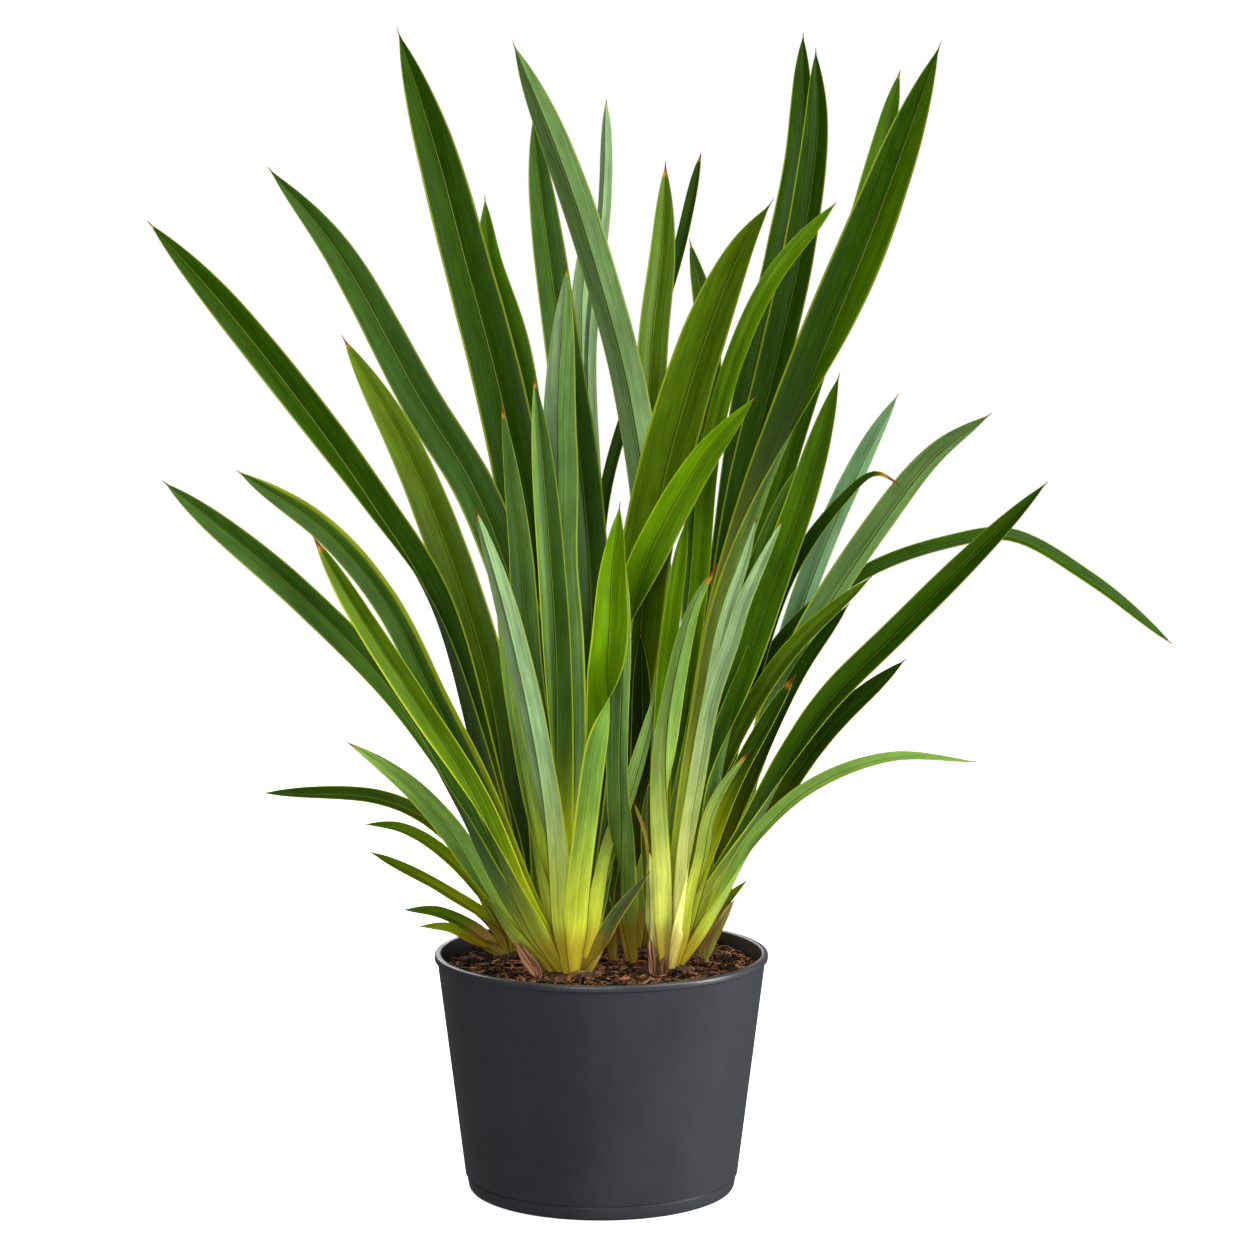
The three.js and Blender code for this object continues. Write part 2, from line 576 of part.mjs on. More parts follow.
const plant = new THREE.Group();
for (const fan of FANS) {
  const colour = fan.name.includes('front') ? LEAF_BRIGHT : LEAF_GREEN;
  plant.add(namedMesh(fan.name, fanSolid(fan), leafMaterial(colour)));
}

const holder = new THREE.Group();
const potFinish = new THREE.MeshStandardMaterial({ color: 0x3a3b3e, roughness: 0.5, metalness: 0 });
const soilFinish = new THREE.MeshStandardMaterial({ color: 0x2a1a10, roughness: 0.95, metalness: 0 });
const dryFinish = new THREE.MeshStandardMaterial({ color: 0x7a5a3a, roughness: 0.8, metalness: 0 });
for (const piece of [DRY_SHEATH, DRY_LEAF]) {
  plant.add(namedMesh(piece.name, leafSolid(piece, piece.blade), dryFinish.clone()));
}
const holes = FANS.map((fan) => crownSolid(fan, HOLE_MARGIN, CROWN_RISE * 3));
holes.push(dryHole(DRY_SHEATH), dryHole(DRY_LEAF));
holder.add(namedMesh('pot', makePot(), potFinish));
holder.add(namedMesh('soil', makeSoil(holes), soilFinish));

const group = new THREE.Group();
group.add(holder, plant);

export default group;
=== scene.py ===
# %% [markdown]
# # A potted New Zealand flax
#
# The plant is a clump of fans. Each fan is a flat row of sword-shaped leaves that fold
# round each other at the foot, so almost everything that is seen is leaf. The pot is a
# plain moulded one and the soil is dark bark and coir.
#
# The solids of the model are already packed. They fix where each fan, the pot and the
# soil stand. This script dresses them: it grows finer leaves along the same lines, turns
# a rounder pot, and crumbles the soil. Blender counts in metres. The measures below are
# millimetres, as on a maker's drawing, and MM turns them into metres.

import math

import bpy
import numpy as np
from mathutils import Euler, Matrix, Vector, noise


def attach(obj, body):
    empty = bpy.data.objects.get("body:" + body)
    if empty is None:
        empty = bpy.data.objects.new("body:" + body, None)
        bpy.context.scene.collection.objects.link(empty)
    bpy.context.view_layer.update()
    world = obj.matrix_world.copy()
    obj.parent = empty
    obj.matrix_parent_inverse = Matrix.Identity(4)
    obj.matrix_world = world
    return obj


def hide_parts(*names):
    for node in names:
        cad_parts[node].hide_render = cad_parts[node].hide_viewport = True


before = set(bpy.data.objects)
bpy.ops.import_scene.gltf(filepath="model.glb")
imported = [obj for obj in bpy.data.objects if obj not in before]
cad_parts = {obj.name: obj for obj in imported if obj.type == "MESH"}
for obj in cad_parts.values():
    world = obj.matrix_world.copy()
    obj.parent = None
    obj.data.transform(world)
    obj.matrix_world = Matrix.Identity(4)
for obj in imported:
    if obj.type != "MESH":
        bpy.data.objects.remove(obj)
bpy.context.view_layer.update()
MM = 0.001

# %% [markdown]
# ## Camera
#
# The photograph was taken from about 3 m away and a little above the middle of the
# plant, looking slightly down on the pot. We could aim a camera at a target object, but
# a turn about one axis says the same and stays easy to check against the pot's rim.

# %% Place the camera
EYE = (23, -3000, 830)
LOOKS_DOWN = 6.12
FOCAL_LENGTH = 97.27
SENSOR_WIDTH = 36

camera_lens = bpy.data.cameras.new("front_camera")
camera_lens.lens = FOCAL_LENGTH
camera_lens.sensor_width = SENSOR_WIDTH
camera = bpy.data.objects.new("front_camera", camera_lens)
camera.location = Vector(EYE) * MM
camera.rotation_euler = Euler((math.radians(90 - LOOKS_DOWN), 0, 0))
bpy.context.collection.objects.link(camera)
bpy.context.scene.camera = camera
print("camera at", [round(c, 2) for c in camera.location], "m,", FOCAL_LENGTH, "mm lens")

# %% [markdown]
# ## Colours
#
# A colour is easiest to name as a screen shows it, with 0 to 255 for red, green and blue.
# Blender's nodes count light itself, and a screen's values are bent so that dark tones
# get more steps. So each colour is straightened once, where it is named.

# %% Colours
def colour(red, green, blue):
    """A colour as seen on a screen, 0 to 255 a channel, in the linear values of Blender."""
    channels = [c / 255 for c in (red, green, blue)]
    linear = [c / 12.92 if c < 0.04045 else ((c + 0.055) / 1.055) ** 2.4 for c in channels]
    return (*linear, 1.0)


print("a middle grey of 128 is", round(colour(128, 128, 128)[0], 3), "in light")

# %% [markdown]
# ## A builder for finishes
#
# A finish is a small network of nodes. Adding each node by hand takes three or four
# lines, so a short class adds one, sets its values and joins it in a single call. Its
# methods have the names of what they do to a surface, which keeps each finish readable.

# %% Finish builder
class Finish:
    """A material under construction."""

    def __init__(self, name):
        self.material = bpy.data.materials.new(name)
        self.material.use_nodes = True
        self.tree = self.material.node_tree
        self.shader = self.tree.nodes["Principled BSDF"]

    def add(self, kind, values=(), **settings):
        """A node of a kind, with settings of its own and values for its sockets."""
        node = self.tree.nodes.new("ShaderNode" + kind)
        for name, value in settings.items():
            setattr(node, name, value)
        for socket, value in dict(values).items():
            self.put(node.inputs[socket], value)
        return node

    def put(self, socket, value):
        """Joins a socket to another node's output, or sets it to a plain value."""
        if isinstance(value, bpy.types.NodeSocket):
            self.tree.links.new(value, socket)
        else:
            socket.default_value = value

    def set(self, **values):
        """Sets or joins the shader's own sockets."""
        for name, value in values.items():
            self.put(self.shader.inputs[name.replace("_", " ")], value)

    def place(self):
        """Where a point lies on its piece, in metres."""
        return self.add("TexCoord").outputs["Object"]

    def read(self, attribute, output="Vector"):
        """What the mesh says at each point."""
        return self.add("Attribute", attribute_name=attribute).outputs[output]

    def math(self, operation, first, second=0.5):
        return self.add("Math", {0: first, 1: second}, operation=operation).outputs[0]

    def split(self, vector):
        return self.add("SeparateXYZ", {"Vector": vector}).outputs

    def join(self, x, y, z):
        return self.add("CombineXYZ", {"X": x, "Y": y, "Z": z}).outputs[0]

    def squeeze(self, vector, scale):
        """The same place on finer or coarser axes, which makes a grain lie one way."""
        return self.add("Mapping", {"Vector": vector, "Scale": scale}).outputs[0]

    def rise(self, value, low, high, start=0.0, end=1.0):
        """Goes smoothly from start to end as value goes from low to high."""
        values = {"Value": value, "From Min": low, "From Max": high, "To Min": start, "To Max": end}
        return self.add("MapRange", values, interpolation_type="SMOOTHSTEP").outputs[0]

    def blend(self, share, first, second, mode="MIX"):
        """Two colours mixed: they go in at sockets 6 and 7 of a Mix node and out at 2."""
        values = {0: share, 6: first, 7: second}
        return self.add("Mix", values, data_type="RGBA", blend_type=mode).outputs[2]

    def grain(self, vector, scale, detail=2.0, roughness=0.5):
        """Noise from 0 to 1, about scale spots to each unit of the vector."""
        values = {"Vector": vector, "Scale": scale, "Detail": detail, "Roughness": roughness}
        return self.add("TexNoise", values).outputs[0]

    def relief(self, height, depth, strength=1.0):
        """Bumps the surface by depth metres where height is 1."""
        values = {"Height": height, "Distance": depth, "Strength": strength}
        self.put(self.shader.inputs["Normal"], self.add("Bump", values).outputs[0])


print("finish builder ready")

# %% [markdown]
# ## A builder for meshes
#
# A crown, a leaf, the pot and the soil are all rings of points that follow one another.
# Blender's cylinder and a curve with a bevel are such rings too, but their section can't
# change its shape on the way. So we write the points of each ring ourselves, and these
# helpers lay the faces between them and put the piece into the scene.

# %% Mesh builder
def ring_faces(rings, sides):
    """Four-cornered faces between rings of points that follow one another."""
    return [(r * sides + i, r * sides + (i + 1) % sides,
             (r + 1) * sides + (i + 1) % sides, (r + 1) * sides + i)
            for r in range(rings - 1) for i in range(sides)]


def closed_faces(rings, sides):
    """The same, closed at both ends round two middle points that come after the rings."""
    first, last = rings * sides, (rings - 1) * sides
    faces = ring_faces(rings, sides)
    faces += [(first, (i + 1) % sides, i) for i in range(sides)]
    faces += [(first + 1, last + i, last + (i + 1) % sides) for i in range(sides)]
    return faces


def new_piece(name, points, faces, soft=True):
    """A piece of points in metres and faces. Soft faces are shaded as one round skin."""
    mesh = bpy.data.meshes.new(name)
    mesh.from_pydata(points, [], faces)
    mesh.polygons.foreach_set("use_smooth", [soft] * len(faces))
    made = bpy.data.objects.new(name, mesh)
    bpy.context.collection.objects.link(made)
    return made


print("two rings of 12 points take", len(closed_faces(2, 12)), "faces to close")

# %% [markdown]
# ## Studio
#
# The plant stands on a plain white floor in soft light, so nothing but the object has a
# tone. The background could be a lit paper sweep. A white world, and a white floor that
# glows until it is about as bright, give the same clean picture with hardly an edge
# between them. Both look white to the camera only: a floor that also lit the plant from
# below would grey the dark hollows between the leaves.

# %% Floor
FLOOR_WIDTH = 9.0
FLOOR_STRIPS = 8
FLOOR_GLOW = 0.84


def flat_sheet(name, width, strips):
    """A square sheet on the ground, cut into strips so that it isn't one bare face."""
    row = strips + 1
    steps = np.linspace(-width / 2, width / 2, row)
    corners = [(x, y, 0) for y in steps for x in steps]
    faces = [(r * row + c, r * row + c + 1, (r + 1) * row + c + 1, (r + 1) * row + c)
             for r in range(strips) for c in range(strips)]
    return new_piece(name, corners, faces, soft=False)


floor_finish = Finish("studio_floor")
floor_grain = floor_finish.grain(floor_finish.place(), 40)
floor_tone = floor_finish.blend(floor_grain, colour(246, 246, 246), colour(250, 250, 250))
floor_finish.set(Base_Color=floor_tone, Roughness=0.9,
                 Emission_Color=floor_tone, Emission_Strength=FLOOR_GLOW)
floor = flat_sheet("floor", FLOOR_WIDTH, FLOOR_STRIPS)
floor.data.materials.append(floor_finish.material)
floor.visible_diffuse = False
floor.visible_glossy = False
print("floor is", floor.dimensions.x, "m wide")

# %% World
AMBIENT = 0.12

world = bpy.data.worlds.new("white_studio")
world.use_nodes = True
world_nodes, world_links = world.node_tree.nodes, world.node_tree.links
soft_white = world_nodes["Background"]
seen_white = world_nodes.new("ShaderNodeBackground")
for white, strength in ((soft_white, AMBIENT), (seen_white, 1.0)):
    white.inputs["Color"].default_value = (1, 1, 1, 1)
    white.inputs["Strength"].default_value = strength
who_looks = world_nodes.new("ShaderNodeLightPath")
choose = world_nodes.new("ShaderNodeMixShader")
world_links.new(who_looks.outputs["Is Camera Ray"], choose.inputs[0])
world_links.new(soft_white.outputs[0], choose.inputs[1])
world_links.new(seen_white.outputs[0], choose.inputs[2])
world_links.new(choose.outputs[0], world_nodes["World Output"].inputs["Surface"])
bpy.context.scene.world = world
bpy.context.scene.view_settings.view_transform = "Standard"
print("world lights the plant at", AMBIENT)

# %% [markdown]
# The light falls mostly from the upper right of the camera: the right half of a folded
# leaf is brighter than its left half. A wide panel gives that with soft edges, where a
# small lamp would cut hard shadows. A weaker panel at the left keeps the dark halves green,
# and one overhead lights the arched leaves and the rim. A small one, low at the right,
# draws the soft bright band on the pot, and one behind lights the rear of the clump.

# %% Light panels
def light_panel(name, place, aim, size, power):
    """A square lamp of size metres and power watts that faces a point."""
    panel = bpy.data.lights.new(name, "AREA")
    panel.shape = "SQUARE"
    panel.size = size
    panel.energy = power
    lamp = bpy.data.objects.new(name, panel)
    lamp.location = place
    lamp.rotation_euler = (Vector(aim) - Vector(place)).to_track_quat("-Z", "Y").to_euler()
    bpy.context.collection.objects.link(lamp)
    print(name, power, "W")


light_panel("key_panel", place=(2.9, -2.1, 2.4), aim=(0, 0, 0.5), size=1.8, power=124)
light_panel("fill_panel", place=(-0.6, -4.0, 1.3), aim=(0, 0, 0.4), size=2.2, power=98)
light_panel("top_panel", place=(0.2, 0.2, 3.4), aim=(0, 0, 0.4), size=2.2, power=62)
light_panel("right_panel", place=(2.3, -0.5, 0.3), aim=(0, 0, 0.12), size=0.7, power=54)
light_panel("back_panel", place=(-0.8, 3.2, 2.2), aim=(0, 0, 0.6), size=2.0, power=70)

# %% [markdown]
# ## The line of a leaf
#
# A leaf springs from its crown and follows a few points that were measured in the front
# view. Each point is given on the plane of the pot's middle, with its depth between, and
# moves along its line of sight to that depth. That way a leaf can bend towards us or
# away without leaving its place in the picture.
#
# Between the points the line is smooth. A Bezier curve object could do it, but a leaf
# needs its direction and length at many places, so the line is worked out here.

# %% Leaf lines
eye = np.array(EYE, float)


def in_space(point):
    """A point of the front view, moved along its line of sight to its own depth."""
    x, depth, z = point
    share = (depth - eye[1]) / -eye[1]
    return (eye[0] + (x - eye[0]) * share, depth, eye[2] + (z - eye[2]) * share)


def smooth_line(points, steps=48):
    """Many points of a smooth line through a few. Its tangents follow the spacing."""
    points = np.asarray(points, float)
    ends = 2 * points[[0, -1]] - points[[1, -2]]
    points = np.vstack([ends[:1], points, ends[1:]])
    share = np.linspace(0, 1, steps, endpoint=False)[:, None]
    line = []
    for a, b, c, d in zip(points, points[1:], points[2:], points[3:]):
        ab, bc, cd = (math.sqrt(np.linalg.norm(q - p)) for p, q in ((a, b), (b, c), (c, d)))
        leave = ((b - a) / ab - (c - a) / (ab + bc) + (c - b) / bc) * bc
        arrive = ((c - b) / bc - (d - b) / (bc + cd) + (d - c) / cd) * bc
        line.append(b + leave * share + (3 * (c - b) - 2 * leave - arrive) * share ** 2
                    + (2 * (b - c) + leave + arrive) * share ** 3)
    return np.vstack([*line, points[-2:-1]])


def walk(line, shares):
    """Places and directions at shares of a line's length, and that length."""
    steps = np.linalg.norm(np.diff(line, axis=0), axis=1)
    reached = np.concatenate([[0], np.cumsum(steps)])
    slope = np.gradient(line, reached, axis=0)
    places = [np.interp(shares * reached[-1], reached, line[:, i]) for i in range(3)]
    slopes = [np.interp(shares * reached[-1], reached, slope[:, i]) for i in range(3)]
    along = np.stack(slopes, axis=1)
    along /= np.linalg.norm(along, axis=1)[:, None]
    return np.stack(places, axis=1), along, reached[-1]


print("a point 100 mm to the right and 100 mm nearer stands at", in_space((100, -100, 500)))

# %% [markdown]
# ## Greens
#
# No two leaves of a clump are the same green. Young ones are fresh and yellowish, old
# ones deep, and a waxy bloom turns some bluish, mostly on the underside. Each leaf names
# the green of its blade and the paler colour that its foot fades to, where it grew in
# the shade of the leaves around it. A random green for each leaf would be quicker, but
# the eye knows single leaves by their colour, so the table names it.

# %% Palette
GREENS = {
    "deep_green": colour(40, 70, 0),
    "leaf_green": colour(62, 98, 4),
    "bluish_green": colour(54, 86, 22),
    "fresh_green": colour(92, 132, 2),
    "yellow_green": colour(94, 120, 0),
    "olive_green": colour(78, 106, 8),
    "soft_green": colour(132, 172, 76),
    "glaucous_green": colour(156, 190, 132),
    "sage_green": colour(72, 102, 36),
    "blue_green": colour(70, 106, 76),
    "dusky_green": colour(84, 98, 58),
    # This dark green is painted shade, not a leaf's own colour: it darkens the leaves and feet deep
    # inside the clump.
    "painted_shade_green": colour(34, 58, 4),
    "margin_green": colour(206, 212, 40),
    "lime": colour(226, 228, 26),
    "cream": colour(255, 250, 140),
    "straw": colour(240, 238, 92),
    "dry_cream": colour(196, 172, 108),
    "dry_brown": colour(128, 84, 48),
}
BLOOM = np.array(colour(124, 158, 100)[:3])
print(len(GREENS), "leaf colours")

# %% [markdown]
# ## One row for each leaf
#
# A row gives what is measured for every leaf. Its other habits mostly agree with its
# neighbours', so they have usual values and a row names only what differs:
#
# - open_from, open_by: the shares of its length over which the folded leaf opens
# - taper: how slowly it narrows to its tip; tip: how long its dry end is
# - sheath: how wide it is where it is folded
# - foot_colour, reach, pale: the colour of its foot, how far up it goes, and how strong
#   it is from 0 to 1, which a fan gives for its leaves
# - band: a stripe along the blade, with the two sides of it between -1 and 1, its
#   colour and its strength

# %% A leaf's row
def leaf(name, foot, through, width, turn, green, **habit):
    """One row of a fan's table. Lengths are millimetres and turns are degrees."""
    usual = dict(open_from=0.0, open_by=0.5, taper=1.6, sheath=9 + 0.3 * width, tip=6,
                 foot_colour="lime", reach=250, band=None)
    return dict(name=name, foot=foot, through=through, width=width, turn=turn, green=green,
                **{**usual, **habit})


trial = leaf("trial", (0, 0), [(-50, 0, 300), (-200, 0, 420)], 30, 0, "leaf_green")
print("a trial leaf of 30 mm is", trial["sheath"], "mm wide where it is folded")

# %% [markdown]
# ## The blade
#
# A flax leaf is folded along its midrib. At its foot the two halves lie almost flat
# together with the keel outwards, and further up it opens and turns its face. Across the
# blade we follow seven points a side: close together at the midrib, where it creases, and
# at the margins. The same points, moved outwards by the leaf's thickness, make the
# underside, so each leaf is one closed skin.
#
# A solidify modifier on a flat strip would also give thickness, but not the keel that
# makes the foot stiff, nor an upper side that is creased and an underside that isn't.

# %% Blade section
BASE_FOLD = 74
BLADE_FOLD = 25
CREASE = 0.04
MARGIN_THICKNESS = 0.3
TIP_THICKNESS = 0.25
FOOT_THICKNESS = 0.55
KEEL_THICKNESS = 1.2
KEEL_WIDTH = 0.08
HALF_SECTION = [0.05, 0.16, 0.36, 0.6, 0.82, 0.95, 1.0]
ACROSS = np.array([-v for v in reversed(HALF_SECTION)] + [0.0] + HALF_SECTION)


def section(half, fold, length_share, bow):
    """Upper and lower points of a folded blade, as (across, up) pairs in its own plane."""
    # A V with a slightly rounded bottom, set so that the leaf's line runs through it.
    crease = np.sqrt(ACROSS ** 2 + CREASE ** 2) - CREASE
    across = half * ACROSS * math.cos(fold)
    up = half * math.sin(fold) * (crease - 0.5)
    swell = bow * half * np.sin(np.pi * np.abs(ACROSS))
    across = across + np.sign(ACROSS) * math.sin(fold) * swell
    up = up - math.cos(fold) * swell
    run, climb = np.gradient(across), np.gradient(up)
    size = np.hypot(run, climb)
    body = FOOT_THICKNESS * (1 - length_share) + TIP_THICKNESS
    keel = KEEL_THICKNESS * (1 - 0.6 * length_share) * np.exp(-(ACROSS / KEEL_WIDTH) ** 2)
    thick = MARGIN_THICKNESS + body * (1 - ACROSS ** 4) + keel
    # A needle of a tip stays thinner than it is wide.
    thick = np.minimum(thick, 0.4 * half + 0.15)
    upper = np.stack([across, up], axis=1)
    lower = upper + np.stack([climb / size, -run / size], axis=1) * thick[:, None]
    return upper, lower


sample = section(18, math.radians(BLADE_FOLD), 0.4, 0)
middle = len(HALF_SECTION)
keel = float(sample[0][middle, 1] - sample[1][middle, 1])
print("a 36 mm leaf is", round(keel, 2), "mm thick at its keel")

# %% [markdown]
# Along the leaf the section widens, opens, turns and runs out into the tip. Slow waves
# of a few tenths of a millimetre and a few degrees, different for each leaf, take away
# the machined look.
#
# A bend modifier could turn a straight blade, but each of these changes has its own
# pace, so each is a curve over the share of the leaf's length.

# %% Blade widths and turns
SOIL_TOP = 205
FOOT_RISE = -3
SEEN_WIDTH = 0.965
TURN_WAVE = 3.5
FOLD_WAVE = 5
WIDTH_WAVE = 0.012


def smooth(low, high, value):
    """Rises from 0 to 1 as value goes from low to high."""
    share = np.clip((value - low) / (high - low), 0, 1)
    return share * share * (3 - 2 * share)


def slow_wave(rng, shares, cycles):
    """An uneven wave of about 1 up and down, from three sine waves."""
    phases = rng.uniform(0, 2 * np.pi, 3)
    waves = [np.sin(2 * np.pi * cycles * (i + 1) * shares + p) / (i + 1)
             for i, p in enumerate(phases)]
    return sum(waves) / 1.8


def blade_line(crown, blade):
    """The line of a leaf, from its foot on the crown through its points to its tip."""
    rise = blade["foot"][2] if len(blade["foot"]) > 2 else FOOT_RISE
    foot = (crown[0] + blade["foot"][0], crown[1] + blade["foot"][1], SOIL_TOP + rise)
    return smooth_line([foot] + [in_space(p) for p in blade["through"]])


def turns_and_folds(blade, line, shares, opened, rng):
    """Where a blade faces and how far it is folded: at its foot side on, and then open."""
    shut = 90 * (np.sign(line[0][0] - line[-1][0]) or 1)
    twist = (blade["turn"] - shut + 180) % 360 - 180
    turns = shut + twist * opened + TURN_WAVE * opened * slow_wave(rng, shares, 1.3)
    folds = (BASE_FOLD * (1 - opened) + BLADE_FOLD * opened
             + FOLD_WAVE * opened * slow_wave(rng, shares, 0.9))
    return np.radians(turns), np.radians(folds)


def half_widths(blade, shares, opened, from_foot, from_tip, rng):
    """Half of the flat width: a narrow sheath, the broad blade, and a needle at the tip."""
    # The blade narrows smoothly, and its last few millimetres are a needle.
    needle = 2 + 0.16 * blade["width"]
    taper = 1 - np.exp(-np.maximum(0, from_tip - needle) / (blade["taper"] * blade["width"]))
    point = 0.3 + 1.1 * smooth(0, needle, from_tip)
    # The sheath is narrow where it leaves the crown and has its full width 60 mm up.
    sheath = 2 * blade["sheath"] / math.sin(math.radians(BASE_FOLD))
    sheath = sheath * (0.15 + 0.85 * smooth(-14, 60, from_foot))
    flat_width = blade["width"] * SEEN_WIDTH / math.cos(math.radians(BLADE_FOLD))
    wide = sheath * (1 - opened) + flat_width * opened
    return (wide * taper * (1 + WIDTH_WAVE * slow_wave(rng, shares, 5)) + point) / 2


print("the trial leaf ends at", blade_line((0, 0), trial)[-1].round(1), "mm")

# %% [markdown]
# The finish has to know where on its leaf each point lies. That could come from a UV map,
# which holds two numbers a point. Three attributes hold all that is needed: the tint of
# the blade, the place on it in millimetres, and how near it is to midrib, foot and tip.

# %% Blade tints and attributes
UNDERSIDE_BLOOM = 0.28
BROWN_FOOT = (20, 120)
BAND_EDGE = 0.06


def tints(blade, from_foot, width_share, underside):
    """The colour of the blade at shares of its width, before veins and blemishes."""
    green = np.array(GREENS[blade["green"]][:3])
    pale = np.array(GREENS[blade["foot_colour"]][:3])
    share = (blade["pale"] * (1 - smooth(15, blade["reach"], from_foot)) ** 1.4)[:, None, None]
    tint = green * (1 - share) + pale * share
    tint = np.repeat(tint, len(width_share), axis=1)
    if blade["band"]:
        low, high, name, strength = blade["band"]
        inside = smooth(low - BAND_EDGE, low + BAND_EDGE, width_share)
        inside = inside * (1 - smooth(high - BAND_EDGE, high + BAND_EDGE, width_share))
        inside = strength * inside[None, :, None] * (1 - 0.6 * share)
        tint = tint * (1 - inside) + np.array(GREENS[name][:3]) * inside
    if underside:
        tint = tint * (1 - UNDERSIDE_BLOOM) + BLOOM * UNDERSIDE_BLOOM
    return tint


def point_notes(blade, number, halves, from_foot, from_tip):
    """What the finish reads at every point of the rings of a blade."""
    width_share = np.concatenate([ACROSS, ACROSS[::-1]])
    spread = np.ones((len(halves), len(width_share)))
    tint = np.concatenate([tints(blade, from_foot, ACROSS, False),
                           tints(blade, from_foot, ACROSS[::-1], True)], axis=1)
    # Every leaf reads the noise of the finish at a place of its own.
    seed = number * 37.3 % 100
    near_foot = 1 - smooth(*BROWN_FOOT, from_foot)
    near_tip = 1 - smooth(0, blade["tip"] * 1.6, from_tip)
    place = [width_share * halves[:, None], spread * from_foot[:, None], spread * seed]
    part = [spread * width_share, spread * near_foot[:, None], spread * near_tip[:, None]]
    return dict(tint=tint.reshape(-1, 3), blade=np.stack(place, axis=2).reshape(-1, 3),
                part=np.stack(part, axis=2).reshape(-1, 3))


trial_tint = tints({"pale": 1.0, **trial}, np.array([0, 400]), ACROSS, False)
print("the trial leaf goes from", trial_tint[0, 0].round(2), "to", trial_tint[1, 0].round(2))

# %% [markdown]
# Now the rings are set along the line. A curve object's own normals would let the face
# spin round where a leaf arches over. So the blade's directions, across it and up from
# its face, come from the line of the leaf and the direction to the front.

# %% Blade skin
FEWEST_RINGS = 26
RING_SPACING = 14
FOLDED_BOW = 0.07
OPEN_BOW = -0.05
TO_FRONT = (0, -1, 0)


def blade_faces(count, ring):
    """The faces of a blade's rings, with both flat ends closed by rungs across."""
    faces = ring_faces(count, ring)
    for start, flip in ((0, True), ((count - 1) * ring, False)):
        for j in range(ring // 2 - 1):
            cap = (start + j, start + j + 1, start + ring - 2 - j, start + ring - 1 - j)
            faces.append(cap[::-1] if flip else cap)
    return faces


def blade_skin(crown, blade, number):
    """Points, faces and attributes of one leaf. The number seeds its waves."""
    rng = np.random.default_rng(number)
    line = blade_line(crown, blade)
    reach = np.linalg.norm(np.diff(line, axis=0), axis=1).sum()
    count = int(FEWEST_RINGS + reach / RING_SPACING)
    # The rings crowd a little towards the tip, where the outline changes most.
    shares = 1 - (1 - np.linspace(0, 1, count)) ** 1.25
    places, along, length = walk(line, shares)
    from_foot, from_tip = shares * length, (1 - shares) * length
    opened = smooth(blade["open_from"], blade["open_by"], shares)
    turns, folds = turns_and_folds(blade, line, shares, opened, rng)
    halves = half_widths(blade, shares, opened, from_foot, from_tip, rng)
    flat = np.cross(along, TO_FRONT)
    flat /= np.linalg.norm(flat, axis=1)[:, None]
    front = np.cross(flat, along)
    across = flat * np.cos(turns)[:, None] - front * np.sin(turns)[:, None]
    up = front * np.cos(turns)[:, None] + flat * np.sin(turns)[:, None]
    bows = FOLDED_BOW * (1 - opened) + OPEN_BOW * opened
    rings = []
    for i in range(count):
        upper, lower = section(halves[i], folds[i], shares[i], bows[i])
        ring = np.vstack([upper, lower[::-1]])
        rings.append(places[i] + ring[:, :1] * across[i] + ring[:, 1:] * up[i])
    return dict(points=np.array(rings).reshape(-1, 3) * MM,
                faces=blade_faces(count, 2 * len(ACROSS)),
                **point_notes(blade, number, halves, from_foot, from_tip))


trial_skin = blade_skin((0, 0), {"pale": 1.0, **trial}, 1)
print("the trial leaf has", len(trial_skin["points"]), "points")

# %% [markdown]
# ## Leaf finish
#
# Close up, a flax leaf is a bundle of parallel veins under a waxy skin. Colour runs
# along it in fine streaks, and the margins are lighter lines. The crease of the midrib is
# painted dark as shade, with a painted highlight on the ridge beside it. Near the soil the
# margins turn brown, partly as painted shade where the leaf feet meet, and the tips dry
# out. An image of a leaf would repeat on every blade; noise that is drawn out along the
# blade never does.

# %% Leaf finish
def long_grain(finish, blade, along, scale, detail, roughness):
    """Noise in a blade's own millimetres, drawn out along it where along is below 1."""
    place = finish.join(blade[0], finish.math("MULTIPLY", blade[1], along), blade[2])
    return finish.grain(place, scale, detail, roughness)


